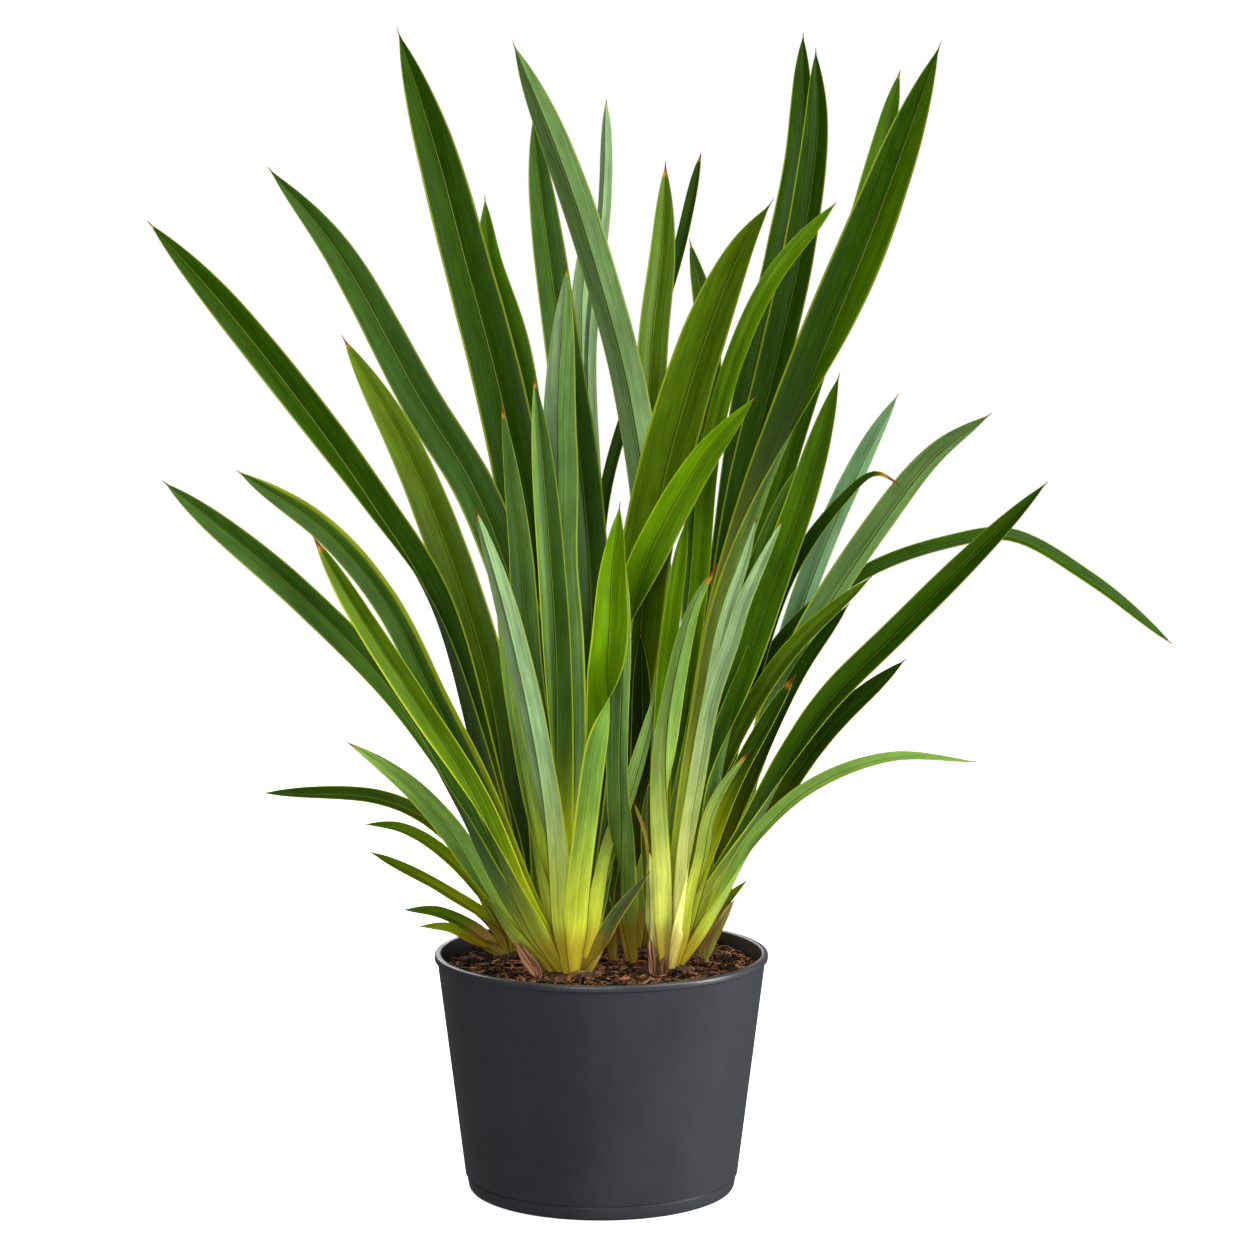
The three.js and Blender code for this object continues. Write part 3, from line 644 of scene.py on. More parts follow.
def leaf_finish(name):
    """Waxy green leaf. Its noises are fine streaks, finer veins, and wide soft clouds."""
    wax = Finish(name)
    blade, part = wax.split(wax.read("blade")), wax.split(wax.read("part"))
    beside, foot, tip = wax.math("ABSOLUTE", part[0]), part[1], part[2]
    streaks = long_grain(wax, blade, 0.012, 0.55, 4, 0.6)
    veins = long_grain(wax, blade, 0.002, 1.9, 2, 0.5)
    wide = wax.math("MULTIPLY", blade[0], 0.25)
    clouds = wax.grain(wax.join(wide, wax.math("MULTIPLY", blade[1], 0.05), blade[2]), 0.6, 3, 0.6)
    tint = wax.read("tint", "Color")
    tint = wax.blend(1.0, tint, wax.rise(streaks, 0.3, 0.7, 0.84, 1.16), "MULTIPLY")
    tint = wax.blend(1.0, tint, wax.rise(clouds, 0.3, 0.7, 0.86, 1.14), "MULTIPLY")
    tint = wax.blend(1.0, tint, wax.rise(veins, 0.42, 0.6, 1.06, 0.86), "MULTIPLY")
    # The crease is painted dark as shade, and the ridge beside it gets a painted highlight.
    crease = wax.blend(wax.rise(foot, 0.4, 0.9), colour(34, 52, 6), colour(92, 50, 20))
    tint = wax.blend(wax.rise(beside, 0.012, 0.034, 0.8, 0.0), tint, crease)
    ridge_highlight = wax.math("ABSOLUTE", wax.math("SUBTRACT", part[0], 0.055))
    tint = wax.blend(wax.rise(ridge_highlight, 0.0, 0.03, 0.5, 0.0), tint, colour(176, 194, 70))
    # The margins are light and fade further up. At the foot they are brown, partly real colour and
    # partly painted shade where the feet meet.
    margin = wax.math("MULTIPLY", wax.rise(beside, 0.9, 0.955),
                      wax.rise(blade[1], 120, 480, 0.88, 0.36))
    margin_and_foot_shade_colour = wax.blend(wax.rise(foot, 0.6, 0.95), colour(186, 202, 48), colour(84, 42, 16))
    tint = wax.blend(margin, tint, margin_and_foot_shade_colour)
    # The tip dries from orange to brown along a ragged edge, and the foot is tan.
    ragged = wax.math("ADD", tip, wax.math("MULTIPLY", wax.math("SUBTRACT", streaks, 0.5), 0.5))
    tint = wax.blend(wax.rise(ragged, 0.3, 0.6, 0.0, 0.8), tint, colour(182, 124, 26))
    tint = wax.blend(wax.rise(ragged, 0.6, 0.8), tint, colour(106, 62, 36))
    tint = wax.blend(wax.rise(foot, 0.65, 1.0, 0.0, 0.6), tint, colour(150, 104, 24))
    wax.set(Base_Color=tint, Roughness=wax.rise(clouds, 0.3, 0.7, 0.34, 0.46),
            Specular_IOR_Level=0.07)
    wax.relief(wax.math("ADD", veins, wax.math("MULTIPLY", streaks, 0.8)), 0.00018, 0.55)
    return wax.material


flax_leaf = leaf_finish("flax_leaf")
print("leaf finish has", len(flax_leaf.node_tree.nodes), "nodes")

# %% [markdown]
# ## Crowns
#
# Under its leaves each fan has a short woody stock, wrapped in the stumps and fibres of
# old leaves. Little of it shows between the leaf feet. A sculpted one would be lost
# there: a low oval mound with ragged ridges is enough, and it also closes the fan where
# its leaves meet.

# %% Crown mesh
CROWN_LENGTH = 54
CROWN_WIDTH = 34
CROWN_DEPTH = 24
CROWN_TOP = 6
CROWN_PROFILE = [(0.5, -CROWN_DEPTH), (0.94, -12), (0.96, -1), (0.86, 2), (0.66, 4), (0.4, 5)]
CROWN_SIDES = 48
CROWN_ROUGHNESS = 0.07
RIDGE_RISE = 15


def crown_skin(fan):
    """Points and faces of a fan's stock, an oval plug with ridges, in metres."""
    half_length, half_width = CROWN_LENGTH * fan["size"] / 2, CROWN_WIDTH * fan["size"] / 2
    heading = math.radians(fan["heading"])
    points = []
    for ring, (share, height) in enumerate(CROWN_PROFILE):
        for i in range(CROWN_SIDES):
            angle = 2 * math.pi * i / CROWN_SIDES
            bump = noise.noise(Vector((i * 2.1, ring * 0.6, fan["at"][0])))
            rough = 1 + CROWN_ROUGHNESS * bump
            x = half_length * share * rough * math.cos(angle)
            y = half_width * share * rough * math.sin(angle)
            points.append((fan["at"][0] + x * math.cos(heading) - y * math.sin(heading),
                           fan["at"][1] + x * math.sin(heading) + y * math.cos(heading),
                           SOIL_TOP + height + RIDGE_RISE * (rough - 1)))
    points += [(*fan["at"], SOIL_TOP - CROWN_DEPTH), (*fan["at"], SOIL_TOP + CROWN_TOP)]
    return np.array(points) * MM, closed_faces(len(CROWN_PROFILE), CROWN_SIDES)


print("a crown has", CROWN_SIDES * len(CROWN_PROFILE) + 2, "points")

# %% [markdown]
# Old leaf bases rot to brown threads that stand upright round the stock. Noise that is
# finer across than upright gives them in one node; hair would cost far more for a part
# that hardly shows.

# %% Crown finish
stock = Finish("crown_fibre")
stock_grain = stock.grain(stock.squeeze(stock.place(), (500, 500, 60)), 1, 3)
stock_tone = stock.blend(stock.rise(stock_grain, 0.35, 0.65),
                         colour(30, 20, 12), colour(88, 62, 36))
stock.set(Base_Color=stock_tone, Roughness=0.85)
stock.relief(stock_grain, 0.0008, 0.8)
print("crown finish has", len(stock.tree.nodes), "nodes")

# %% [markdown]
# ## Fans
#
# The tables below list every leaf: its foot on the crown, the points that it passes
# through, its width, the turn of its face, and its green. Leaves could be copies of a
# few patterns, but then the clump repeats itself. Joining a fan's leaves in one mesh
# keeps the scene as the plant is: each fan is one grown piece.

# %% Fan builder
def joined_mesh(name, skins, finishes):
    """One piece of many closed skins, each with the number of its finish."""
    points, faces, kinds = [], [], []
    notes = {"tint": [], "blade": [], "part": []}
    start = 0
    for skin, kind in skins:
        count = len(skin["points"])
        points.append(skin["points"])
        faces += [tuple(start + i for i in face) for face in skin["faces"]]
        kinds += [kind] * len(skin["faces"])
        for label, bare in (("tint", 0.05), ("blade", 0.0), ("part", 0.0)):
            notes[label].append(skin.get(label, np.full((count, 3), bare)))
        start += count
    made = new_piece(name, np.vstack(points).tolist(), faces)
    for finish in finishes:
        made.data.materials.append(finish)
    made.data.polygons.foreach_set("material_index", kinds)
    opaque = np.hstack([np.vstack(notes["tint"]), np.ones((start, 1))])
    tint = made.data.attributes.new("tint", "FLOAT_COLOR", "POINT")
    tint.data.foreach_set("color", opaque.ravel())
    for label in ("blade", "part"):
        attribute = made.data.attributes.new(label, "FLOAT_VECTOR", "POINT")
        attribute.data.foreach_set("vector", np.vstack(notes[label]).ravel())
    return made


def grow_fan(fan):
    """A fan in leaf, in place of the plain solid of the same name."""
    skins = [(blade_skin(fan["at"], {"pale": fan["pale"], **blade}, len(fan["name"]) * 31 + i), 0)
             for i, blade in enumerate(fan["leaves"])]
    points, faces = crown_skin(fan)
    skins.append((dict(points=points, faces=faces), 1))
    grown = joined_mesh(fan["name"] + "_leaves", skins, [flax_leaf, stock.material])
    grown.data.set_sharp_from_angle(angle=math.radians(50))
    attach(grown, "root")
    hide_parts(fan["name"])
    widest = max(fan["leaves"], key=lambda row: row["width"])
    print(fan["name"], "has", len(fan["leaves"]), "leaves, the widest is", widest["name"])


print("fan builder ready")

# %% [markdown]
# The front left fan is the fullest. Its outer leaves lean far to the left, and its
# inner ones are pale where the bloom on their undersides shows.

# %% Front left fan
FAN_FRONT_LEFT = dict(name="fan_front_left", at=(-25, -62), heading=0, size=1, pale=1.0, leaves=[
    leaf("far_left_low", (-6, 5), [(-85, -78, 271), (-126, -90, 352), (-184, -108, 447),
         (-262, -138, 531), (-389, -200, 639)],
         27, 10, "bluish_green", open_by=0.75, sheath=13, reach=150, pale=0.7),
    leaf("narrow_left", (-5, 2), [(-69, -88, 262), (-110, -108, 352), (-167, -130, 443),
         (-223, -152, 532), (-256, -168, 590)],
         21, 15, "olive_green", tip=18, open_by=0.7, sheath=15, reach=190, pale=0.7,
         band=(-1.0, -0.86, "margin_green", 0.5)),
    leaf("bowed_left", (-4, -1), [(-65, -70, 262), (-102, -76, 352), (-148, -84, 443),
         (-193, -94, 532), (-245, -108, 594), (-323, -140, 648)],
         23, 12, "bluish_green", open_by=0.7, sheath=16, reach=190, pale=0.7,
         band=(0.75, 1.0, "margin_green", 0.35)),
    leaf("low_left", (-6, 7), [(-71, -58, 225), (-107, -66, 280), (-136, -78, 326),
         (-167, -92, 361), (-198, -106, 386), (-229, -124, 406)],
         25, 10, "soft_green", open_by=0.65, taper=2.6, tip=16, sheath=15, reach=150, pale=0.8),
    leaf("short_left", (-3, 4), [(-46, -52, 262), (-64, -52, 352), (-78, -54, 434),
         (-93, -58, 559)],
         21, 48, "soft_green", sheath=18),
    leaf("pale_left", (-2, -6), [(-36, -72, 262), (-51, -88, 362), (-66, -102, 443),
         (-87, -118, 532), (-112, -136, 616)],
         25, 160, "glaucous_green", tip=14, taper=2.2, sheath=20),
    leaf("centre_left", (-1, -2), [(-33, -62, 262), (-36, -66, 362), (-40, -72, 488),
         (-47, -76, 595), (-59, -80, 732)],
         26, 15, "bluish_green", tip=12, taper=2.2, open_by=0.6, sheath=16,
         band=(-1.0, -0.4, "soft_green", 0.4)),
    leaf("tall_pale", (1, 2), [(-27, -50, 352), (-32, -44, 488), (-38, -42, 568),
         (-37, -40, 640), (-37, -38, 710), (-30, -36, 830)],
         34, 165, "leaf_green", tip=12, taper=1.9, sheath=18,
         band=(0.0, 1.0, "glaucous_green", 0.95)),
    leaf("dark_left", (-2, 3), [(-39, -48, 307), (-63, -46, 443), (-72, -44, 575),
         (-79, -43, 639), (-88, -42, 708)],
         27, 15, "bluish_green", tip=16, taper=3.2, sheath=16,
         band=(0.1, 1.0, "soft_green", 0.2)),
    leaf("front_centre", (0, -9), [(-23, -84, 262), (-17, -94, 316), (-10, -104, 371),
         (-1, -118, 434), (7, -130, 497), (10, -146, 559), (17, -168, 620)],
         36, 10, "fresh_green", open_from=0.46, open_by=0.74, sheath=19, tip=6, reach=215),
    # The foot of this leaf fades to painted shade rather than to a paler colour.
    leaf("front_right", (2, 0), [(-4, -44, 262), (13, -34, 389), (15, -32, 443), (19, -34, 497),
         (36, -46, 558), (88, -70, 655), (138, -92, 715)],
         33, 12, "fresh_green", open_from=0.42, open_by=0.75, sheath=15, tip=8,
         foot_colour="painted_shade_green", reach=560),
    leaf("slanting_pale", (4, 5), [(-3, -52, 262), (9, -46, 312), (22, -38, 350),
         (39, -28, 407), (49, -20, 452)],
         17, -150, "soft_green", sheath=16, taper=2.0),
    leaf("short_dark", (7, 1), [(-3, -74, 216), (11, -84, 244), (44, -100, 288)],
         15, -30, "dusky_green", sheath=14, taper=2.4, pale=0.5, reach=80,
         band=(0.4, 1.0, "dry_brown", 0.7)),
    # This leaf is coloured as painted shade, the dark in the middle of the fan.
    leaf("inner_dark", (2, 2), [(-8, -44, 257), (-7, -36, 307), (-3, -32, 362), (2, -32, 425),
         (4, -34, 488)],
         20, 10, "painted_shade_green", pale=0.3),
])
grow_fan(FAN_FRONT_LEFT)

# %% [markdown]
# The front right fan carries the greatest leaf of the clump. Two narrow leaves beside
# its foot are cream, and two short ones behind them are painted dark as the shade there.

# %% Front right fan
FAN_FRONT_RIGHT = dict(name="fan_front_right", at=(58, -34), heading=0, size=1, pale=1.0, leaves=[
    # The fresh-green band on the right half of the greatest leaf is a painted highlight on the half
    # that faces the key panel.
    leaf("great_leaf", (0, -3), [(67, -38, 262), (77, -40, 352), (91, -40, 443),
         (107, -40, 532), (136, -41, 622), (173, -43, 710), (230, -46, 842), (298, -60, 1024)],
         49, -15, "deep_green", open_from=0.3, open_by=0.8, sheath=20, reach=560,
         band=(0.02, 1.0, "fresh_green", 0.4)),
    leaf("pale_between", (1, -4), [(72, -50, 262), (79, -52, 334), (87, -54, 389),
         (97, -56, 443), (107, -58, 497), (116, -60, 532), (128, -62, 568), (138, -64, 606)],
         12, -25, "glaucous_green", taper=3.0, sheath=12, open_by=0.4, foot_colour="cream",
         reach=330),
    leaf("dark_right", (3, -3), [(76, -46, 262), (93, -48, 371), (108, -50, 443),
         (125, -52, 506), (145, -54, 568), (167, -56, 622), (187, -58, 657), (204, -60, 685)],
         26, -25, "leaf_green", open_from=0.3, open_by=0.7, sheath=15, reach=200),
    leaf("pale_right", (2, -8), [(71, -58, 262), (77, -66, 316), (86, -76, 371), (99, -86, 443),
         (117, -94, 497), (128, -98, 532), (161, -106, 604)],
         15, -25, "glaucous_green", taper=3.0, sheath=13, open_by=0.4, foot_colour="cream",
         reach=330),
    leaf("green_right", (4, -2), [(79, -50, 262), (94, -54, 316), (99, -56, 371),
         (118, -60, 443), (135, -64, 497), (159, -70, 568), (178, -74, 622), (211, -80, 734)],
         28, -15, "leaf_green", open_from=0.2, open_by=0.6, sheath=15, reach=200),
    leaf("pale_short", (-3, -6), [(54, -60, 262), (53, -78, 316), (56, -94, 389),
         (63, -104, 443), (74, -116, 497), (85, -124, 532), (105, -134, 567)],
         23, 165, "soft_green", open_from=0.2, open_by=0.7, taper=3.4, sheath=15,
         foot_colour="straw", reach=330, tip=26, band=(-1.0, 0.0, "fresh_green", 0.6)),
    leaf("light_back", (-2, 3), [(56, -28, 307), (56, -26, 443), (65, -28, 532),
         (76, -28, 605)],
         15, -10, "fresh_green"),
    leaf("short_right", (4, -1), [(80, -56, 262), (90, -60, 298), (96, -64, 334),
         (108, -68, 362), (135, -74, 400)],
         15, -150, "soft_green", taper=3.0, sheath=15, tip=20,
         band=(0.7, 1.0, "dry_brown", 0.8)),
    leaf("arched_low", (5, 0), [(90, -28, 320), (112, -30, 389), (139, -34, 443),
         (174, -42, 492), (241, -62, 554)],
         20, -45, "olive_green", open_from=0.1, open_by=0.6),
    leaf("brown_tip", (6, 5), [(84, -50, 271), (118, -64, 366), (151, -78, 429),
         (174, -86, 467)],
         15, -25, "deep_green", tip=18),
    leaf("right_dark", (6, 3), [(73, -42, 234), (102, -46, 280), (130, -50, 325),
         (166, -56, 389), (203, -66, 443), (266, -86, 507), (396, -140, 638)],
         24, -25, "deep_green", open_from=0.1, open_by=0.55, taper=2.4, sheath=14, reach=170,
         band=(-1.0, -0.1, "leaf_green", 0.6)),
    leaf("long_arch", (7, 6), [(105, -54, 262), (138, -68, 318), (187, -88, 364),
         (258, -116, 391), (337, -150, 387)],
         18, -50, "soft_green", taper=5, sheath=12, reach=150),
    leaf("foot_bract", (-7, 1), [(46, -50, 230), (45, -52, 257), (44, -54, 282),
         (43, -56, 309)],
         14, 150, "soft_green", sheath=13, taper=1.6, foot_colour="cream",
         band=(0.1, 1.0, "cream", 0.7)),
    leaf("left_sheath", (-5, -7), [(48, -50, 244), (44, -54, 284), (39, -58, 321),
         (29, -62, 351)],
         3, 60, "dry_brown", sheath=5, tip=8, pale=0.3),
    # These two leaves carry painted shade: they are coloured dark as the shade behind the leaf
    # feet.
    leaf("painted_shade_left", (-5, 5), [(48, -22, 230), (46, -20, 262), (44, -16, 298), (42, -12, 334),
         (43, -8, 371)],
         18, 10, "painted_shade_green", pale=0.2, sheath=14),
    leaf("painted_shade_right", (5, 7), [(82, -20, 225), (86, -14, 245), (92, -6, 280), (101, 4, 325)],
         17, 10, "painted_shade_green", pale=0.3, sheath=14),
])
grow_fan(FAN_FRONT_RIGHT)

# %% [markdown]
# The middle fan stands behind the first two. One broad leaf arches to the right and
# a long one to the left.

# %% Middle fan
FAN_MIDDLE = dict(name="fan_middle", at=(28, 46), heading=0, size=0.95, pale=0.2, leaves=[
    leaf("front_centre", (3, -58), [(24, -22, 262), (19, -52, 310), (15, -78, 380),
         (18, -96, 488), (18, -112, 582)],
         21, -155, "leaf_green", sheath=14),
    leaf("broad_arch", (2, -2), [(27, 22, 353), (33, -4, 515), (50, -20, 622), (87, -40, 754),
         (123, -60, 842), (152, -78, 887)],
         50, -10, "olive_green", tip=8),
    leaf("narrow_arch", (14, 0), [(63, 32, 353), (86, 16, 532), (99, 6, 675), (121, -6, 754),
         (153, -16, 820), (207, -30, 884)],
         17, -20, "fresh_green"),
    leaf("upright", (4, 5), [(35, 56, 353), (39, 60, 532), (45, 62, 754), (54, 62, 842),
         (57, 62, 920)],
         29, 12, "olive_green", tip=16),
    leaf("left_arch", (-4, 3), [(39, 40, 353), (48, 30, 532), (27, 16, 710), (-8, 0, 842),
         (-38, -14, 929), (-77, -40, 1023)],
         31, 170, "sage_green", foot_colour="glaucous_green", reach=880, pale=1.0),
    leaf("slim", (-10, 4), [(12, 70, 353), (2, 84, 480), (-5, 98, 622), (-10, 114, 754),
         (3, 122, 886), (5, 128, 973)],
         13, 150, "glaucous_green", sheath=8),
    # The two inner leaves are coloured as painted shade.
    leaf("inner_left", (-16, -48), [(7, 10, 262), (3, 4, 316), (2, -2, 389), (4, -6, 461),
         (6, -8, 510)],
         22, 8, "painted_shade_green"),
    leaf("inner_right", (-4, -36), [(19, 8, 257), (27, 4, 298), (34, 0, 352), (36, -4, 407),
         (36, -6, 461), (35, -8, 504)],
         20, -8, "painted_shade_green"),
    leaf("rear_middle", (-2, 6), [(30, 96, 300), (28, 160, 420), (14, 240, 520), (0, 310, 560)],
         32, 10, "leaf_green"),
    leaf("rear_arch", (6, 7), [(36, 86, 330), (38, 160, 500), (52, 240, 622), (78, 320, 724)],
         30, 10, "leaf_green"),
])
grow_fan(FAN_MIDDLE)

# %% [markdown]
# The left fan is young: two long leaves and five short ones close to the soil.

# %% Left fan
FAN_LEFT = dict(name="fan_left", at=(-77, 25), heading=10, size=0.85, pale=0.35, leaves=[
    leaf("long_left", (-1, 0), [(-86, 20, 307), (-108, 12, 407), (-146, 2, 532),
         (-203, -14, 622), (-267, -36, 710), (-337, -68, 798), (-399, -104, 868)],
         34, 20, "deep_green", open_by=0.85, taper=1.9, tip=10),
    leaf("bright", (5, 3), [(-74, 34, 307), (-88, 42, 398), (-108, 48, 488), (-137, 54, 577),
         (-173, 58, 666), (-229, 62, 768)],
         36, 15, "yellow_green", tip=16, foot_colour="deep_green", reach=900, pale=1.0),
    leaf("level_left", (-4, -2), [(-94, 12, 266), (-127, 0, 310), (-162, -10, 339),
         (-203, -20, 355), (-304, -44, 359)],
         17, 50, "deep_green"),
    leaf("small_arch", (-6, -4), [(-105, 0, 262), (-145, -22, 307), (-180, -38, 327),
         (-213, -50, 331)],
         14, 50, "leaf_green"),
    leaf("small_lower", (-7, -6, 3), [(-96, 4, 238), (-145, -20, 273), (-208, -46, 306)],
         12, 45, "leaf_green"),
    leaf("dry_patch", (-9, -5, 3), [(-106, 4, 229), (-145, -10, 250), (-179, -22, 253)],
         14, 35, "olive_green", foot_colour="dry_cream", reach=62, pale=1.0),
    leaf("lowest", (-11, -3, 2), [(-110, 10, 223), (-136, 4, 236), (-165, -2, 238)],
         12, 40, "leaf_green"),
])
grow_fan(FAN_LEFT)

# %% [markdown]
# The right fan leans out, and its longest leaf is so thin that its end droops.

# %% Right fan
FAN_RIGHT = dict(name="fan_right", at=(86, 38), heading=-10, size=0.85, pale=0.55, leaves=[
    leaf("drooping", (2, 3), [(96, 40, 307), (115, 36, 416), (173, 34, 510), (239, 36, 559),
         (310, 46, 584), (363, 58, 590), (435, 82, 551), (509, 112, 493)],
         15, -45, "deep_green", taper=2.4, tip=6),
    leaf("light_broad", (5, 0), [(111, 28, 298), (146, 18, 407), (190, 4, 510), (248, -14, 601),
         (296, -30, 662), (346, -50, 699)],
         28, -155, "sage_green"),
    leaf("blue", (4, 5), [(107, 48, 271), (138, 58, 380), (171, 74, 506), (201, 92, 590),
         (236, 112, 666), (263, 130, 716)],
         24, -160, "blue_green"),
    leaf("hooked", (2, -4), [(102, 16, 334), (133, -4, 452), (168, -22, 555), (212, -40, 619),
         (243, -52, 645), (267, -60, 634)],
         19, -40, "deep_green", taper=4.5, tip=26),
    leaf("outer", (6, -5), [(108, 12, 298), (139, -10, 384), (177, -30, 467), (221, -56, 530)],
         17, -45, "deep_green"),
    leaf("right_low", (9, -3), [(115, 16, 291), (151, 4, 343), (204, -16, 418),
         (272, -44, 480)],
         21, -25, "deep_green"),
    leaf("short_low", (9, -6), [(103, 18, 242), (114, 10, 262), (131, 0, 280)],
         11, -45, "leaf_green"),
])
grow_fan(FAN_RIGHT)

# %% [markdown]
# The back left fan has the tallest leaves. Its hindmost ones lean back and are only
# seen from the sides and from behind.

# %% Back left fan
FAN_BACK_LEFT = dict(name="fan_back_left", at=(-38, 86), heading=-15, size=1, pale=0.3, leaves=[
    leaf("dark_arch", (-8, -3), [(-37, 74, 353), (-63, 72, 488), (-108, 82, 622),
         (-160, 96, 710), (-233, 126, 842), (-293, 160, 915)],
         39, 12, "bluish_green", taper=2.2, tip=8),
    leaf("tallest", (-2, 2), [(-37, 94, 353), (-54, 104, 532), (-88, 122, 710),
         (-122, 150, 842), (-145, 172, 929), (-178, 204, 1035)],
         48, 10, "deep_green", tip=8),
    leaf("behind_tallest", (2, 7), [(-37, 116, 398), (-58, 138, 622), (-77, 166, 754),
         (-98, 190, 833), (-102, 210, 890)],
         33, 12, "leaf_green", tip=8),
    leaf("dark_upright", (8, -4), [(-8, 66, 443), (-15, 58, 622), (-34, 54, 754),
         (-52, 52, 886), (-60, 50, 960)],
         34, 12, "bluish_green", sheath=14),
    leaf("blue_behind", (12, 0), [(-10, 104, 532), (-17, 124, 710), (-18, 140, 789),
         (-10, 158, 873)],
         19, -160, "glaucous_green"),
    leaf("slim_dark", (13, 4), [(-6, 126, 398), (3, 152, 622), (42, 174, 754), (69, 196, 842),
         (88, 214, 927)],
         12, -30, "deep_green", tip=10),
    leaf("rear_left", (-6, 7), [(-46, 136, 300), (-46, 200, 410), (-46, 280, 500),
         (-44, 350, 540)],
         32, 8, "leaf_green"),
    leaf("rear_right", (6, 7), [(-24, 126, 310), (-14, 200, 430), (-10, 280, 520),
         (-10, 340, 550)],
         30, -12, "bluish_green"),
    leaf("rear_low", (-11, 6), [(-56, 140, 262), (-62, 210, 318), (-62, 268, 340)],
         26, 20, "leaf_green"),
    leaf("rear_tall", (0, 7), [(-40, 140, 353), (-55, 210, 532), (-84, 290, 690),
         (-104, 340, 775)],
         32, 10, "deep_green"),
])
grow_fan(FAN_BACK_LEFT)

# %% [markdown]
# The back right fan fills the gap behind the greatest leaf, with a tall pair.

# %% Back right fan
FAN_BACK_RIGHT = dict(name="fan_back_right", at=(64, 84), heading=15, size=1, pale=0.3, leaves=[
    leaf("tall_pair_left", (4, 4), [(88, 108, 398), (111, 124, 577), (129, 146, 710),
         (158, 176, 842), (174, 200, 929), (177, 226, 1031)],
         27, -20, "deep_green"),
    leaf("tall_pair_right", (8, -2), [(99, 92, 443), (125, 98, 622), (156, 112, 754),
         (175, 130, 842), (189, 150, 947), (188, 166, 1018)],
         31, -15, "deep_green"),
    leaf("behind_great", (12, -6), [(107, 58, 443), (167, 52, 666), (219, 58, 833),
         (248, 72, 938), (262, 84, 999)],
         22, -15, "leaf_green", tip=10),
    leaf("dark_short", (-4, 0), [(79, 98, 443), (85, 108, 622), (94, 122, 763), (78, 140, 852)],
         26, 20, "deep_green", tip=10),
    leaf("rear_left", (-4, 7), [(60, 128, 300), (56, 210, 420), (48, 290, 510), (40, 350, 545)],
         32, 8, "leaf_green"),
    leaf("rear_right", (8, 7), [(78, 124, 290), (94, 210, 390), (102, 280, 460),
         (104, 340, 490)],
         30, -12, "deep_green"),
    leaf("rear_tall", (6, 6), [(90, 130, 400), (124, 210, 577), (168, 290, 697),
         (196, 336, 770)],
         32, -10, "leaf_green"),
    leaf("rear_low", (10, 5), [(80, 116, 252), (88, 190, 318), (90, 256, 338)],
         24, -20, "bluish_green"),
])
grow_fan(FAN_BACK_RIGHT)

# %% [markdown]
# ## Pot
#
# The pot is one moulding: a tapered wall, a thin lip that stands out a little, and a
# shallow groove above the foot. A body of revolution is its natural form: we walk the
# profile once from the middle of the underside, out, up, over the lip and back in, and
# then turn it round the upright axis. A Screw modifier would turn it too. Our own mesh
# builder does it in a few lines, which also make the drills for the drain holes. Small
# rounds on every edge catch the light; a sharp edge would look like paper.

# %% Pot measures
POT_HEIGHT = 215
RIM_RADIUS = 150
LIP_HEIGHT = 6
WALL_TOP_RADIUS = 147.5
WALL_FOOT_RADIUS = 123
WALL_THICKNESS = 4.5
FOOT_HEIGHT = 14
FOOT_STEP = 1.2
GROOVE_DEPTH = 1.2
FLOOR_THICKNESS = 5


def wall_radius(z):
    """The outside of the wall at a height."""
    share = (z - FOOT_HEIGHT) / (POT_HEIGHT - LIP_HEIGHT - FOOT_HEIGHT)
    return WALL_FOOT_RADIUS + (WALL_TOP_RADIUS - WALL_FOOT_RADIUS) * share


def inner_radius(z):
    """The inside of the wall at a height."""
    return wall_radius(z) - WALL_THICKNESS


print("halfway up, the pot is", round(2 * wall_radius(POT_HEIGHT / 2), 1), "mm across")

# %% Pot profile
def rounded(corner, before, after, radius, steps=5):
    """Replaces a corner of a profile by a small arc-like curve."""
    corner, before, after = (np.array(p, float) for p in (corner, before, after))
    start = corner + (before - corner) / np.linalg.norm(before - corner) * radius
    end = corner + (after - corner) / np.linalg.norm(after - corner) * radius
    return [tuple(start * (1 - s) ** 2 + corner * 2 * s * (1 - s) + end * s ** 2)
            for s in np.linspace(0, 1, steps)]


lip_foot = POT_HEIGHT - LIP_HEIGHT
mouth = inner_radius(POT_HEIGHT)
foot_radius = WALL_FOOT_RADIUS - FOOT_STEP
groove_radius = foot_radius - GROOVE_DEPTH
# Each row is a corner's radius and height, and how far its rounding reaches.
corners = [
    ((0, 0), 0),
    ((foot_radius - 2.2, 0), 4),
    ((foot_radius, FOOT_HEIGHT - 1.6), 0.4),
    ((groove_radius, FOOT_HEIGHT - 1.4), 0.1),
    ((groove_radius, FOOT_HEIGHT - 0.2), 0.1),
    ((WALL_FOOT_RADIUS, FOOT_HEIGHT), 0.5),
    ((wall_radius(lip_foot), lip_foot), 0.2),
    ((RIM_RADIUS - 0.2, lip_foot + 0.2), 0.8),
    ((RIM_RADIUS, POT_HEIGHT), 2.2),
    ((mouth, POT_HEIGHT), 1.8),
    ((mouth - 19, FLOOR_THICKNESS + 30), 1),
    ((inner_radius(FLOOR_THICKNESS), FLOOR_THICKNESS), 4),
    ((0, FLOOR_THICKNESS), 0),
]
pot_profile = [corners[0][0]]
for (before, _), (corner, radius), (after, _) in zip(corners, corners[1:], corners[2:]):
    pot_profile += rounded(corner, before, after, radius)
pot_profile.append(corners[-1][0])
print("the pot's profile has", len(pot_profile), "points")

# %% Pot mesh
POT_SIDES = 208


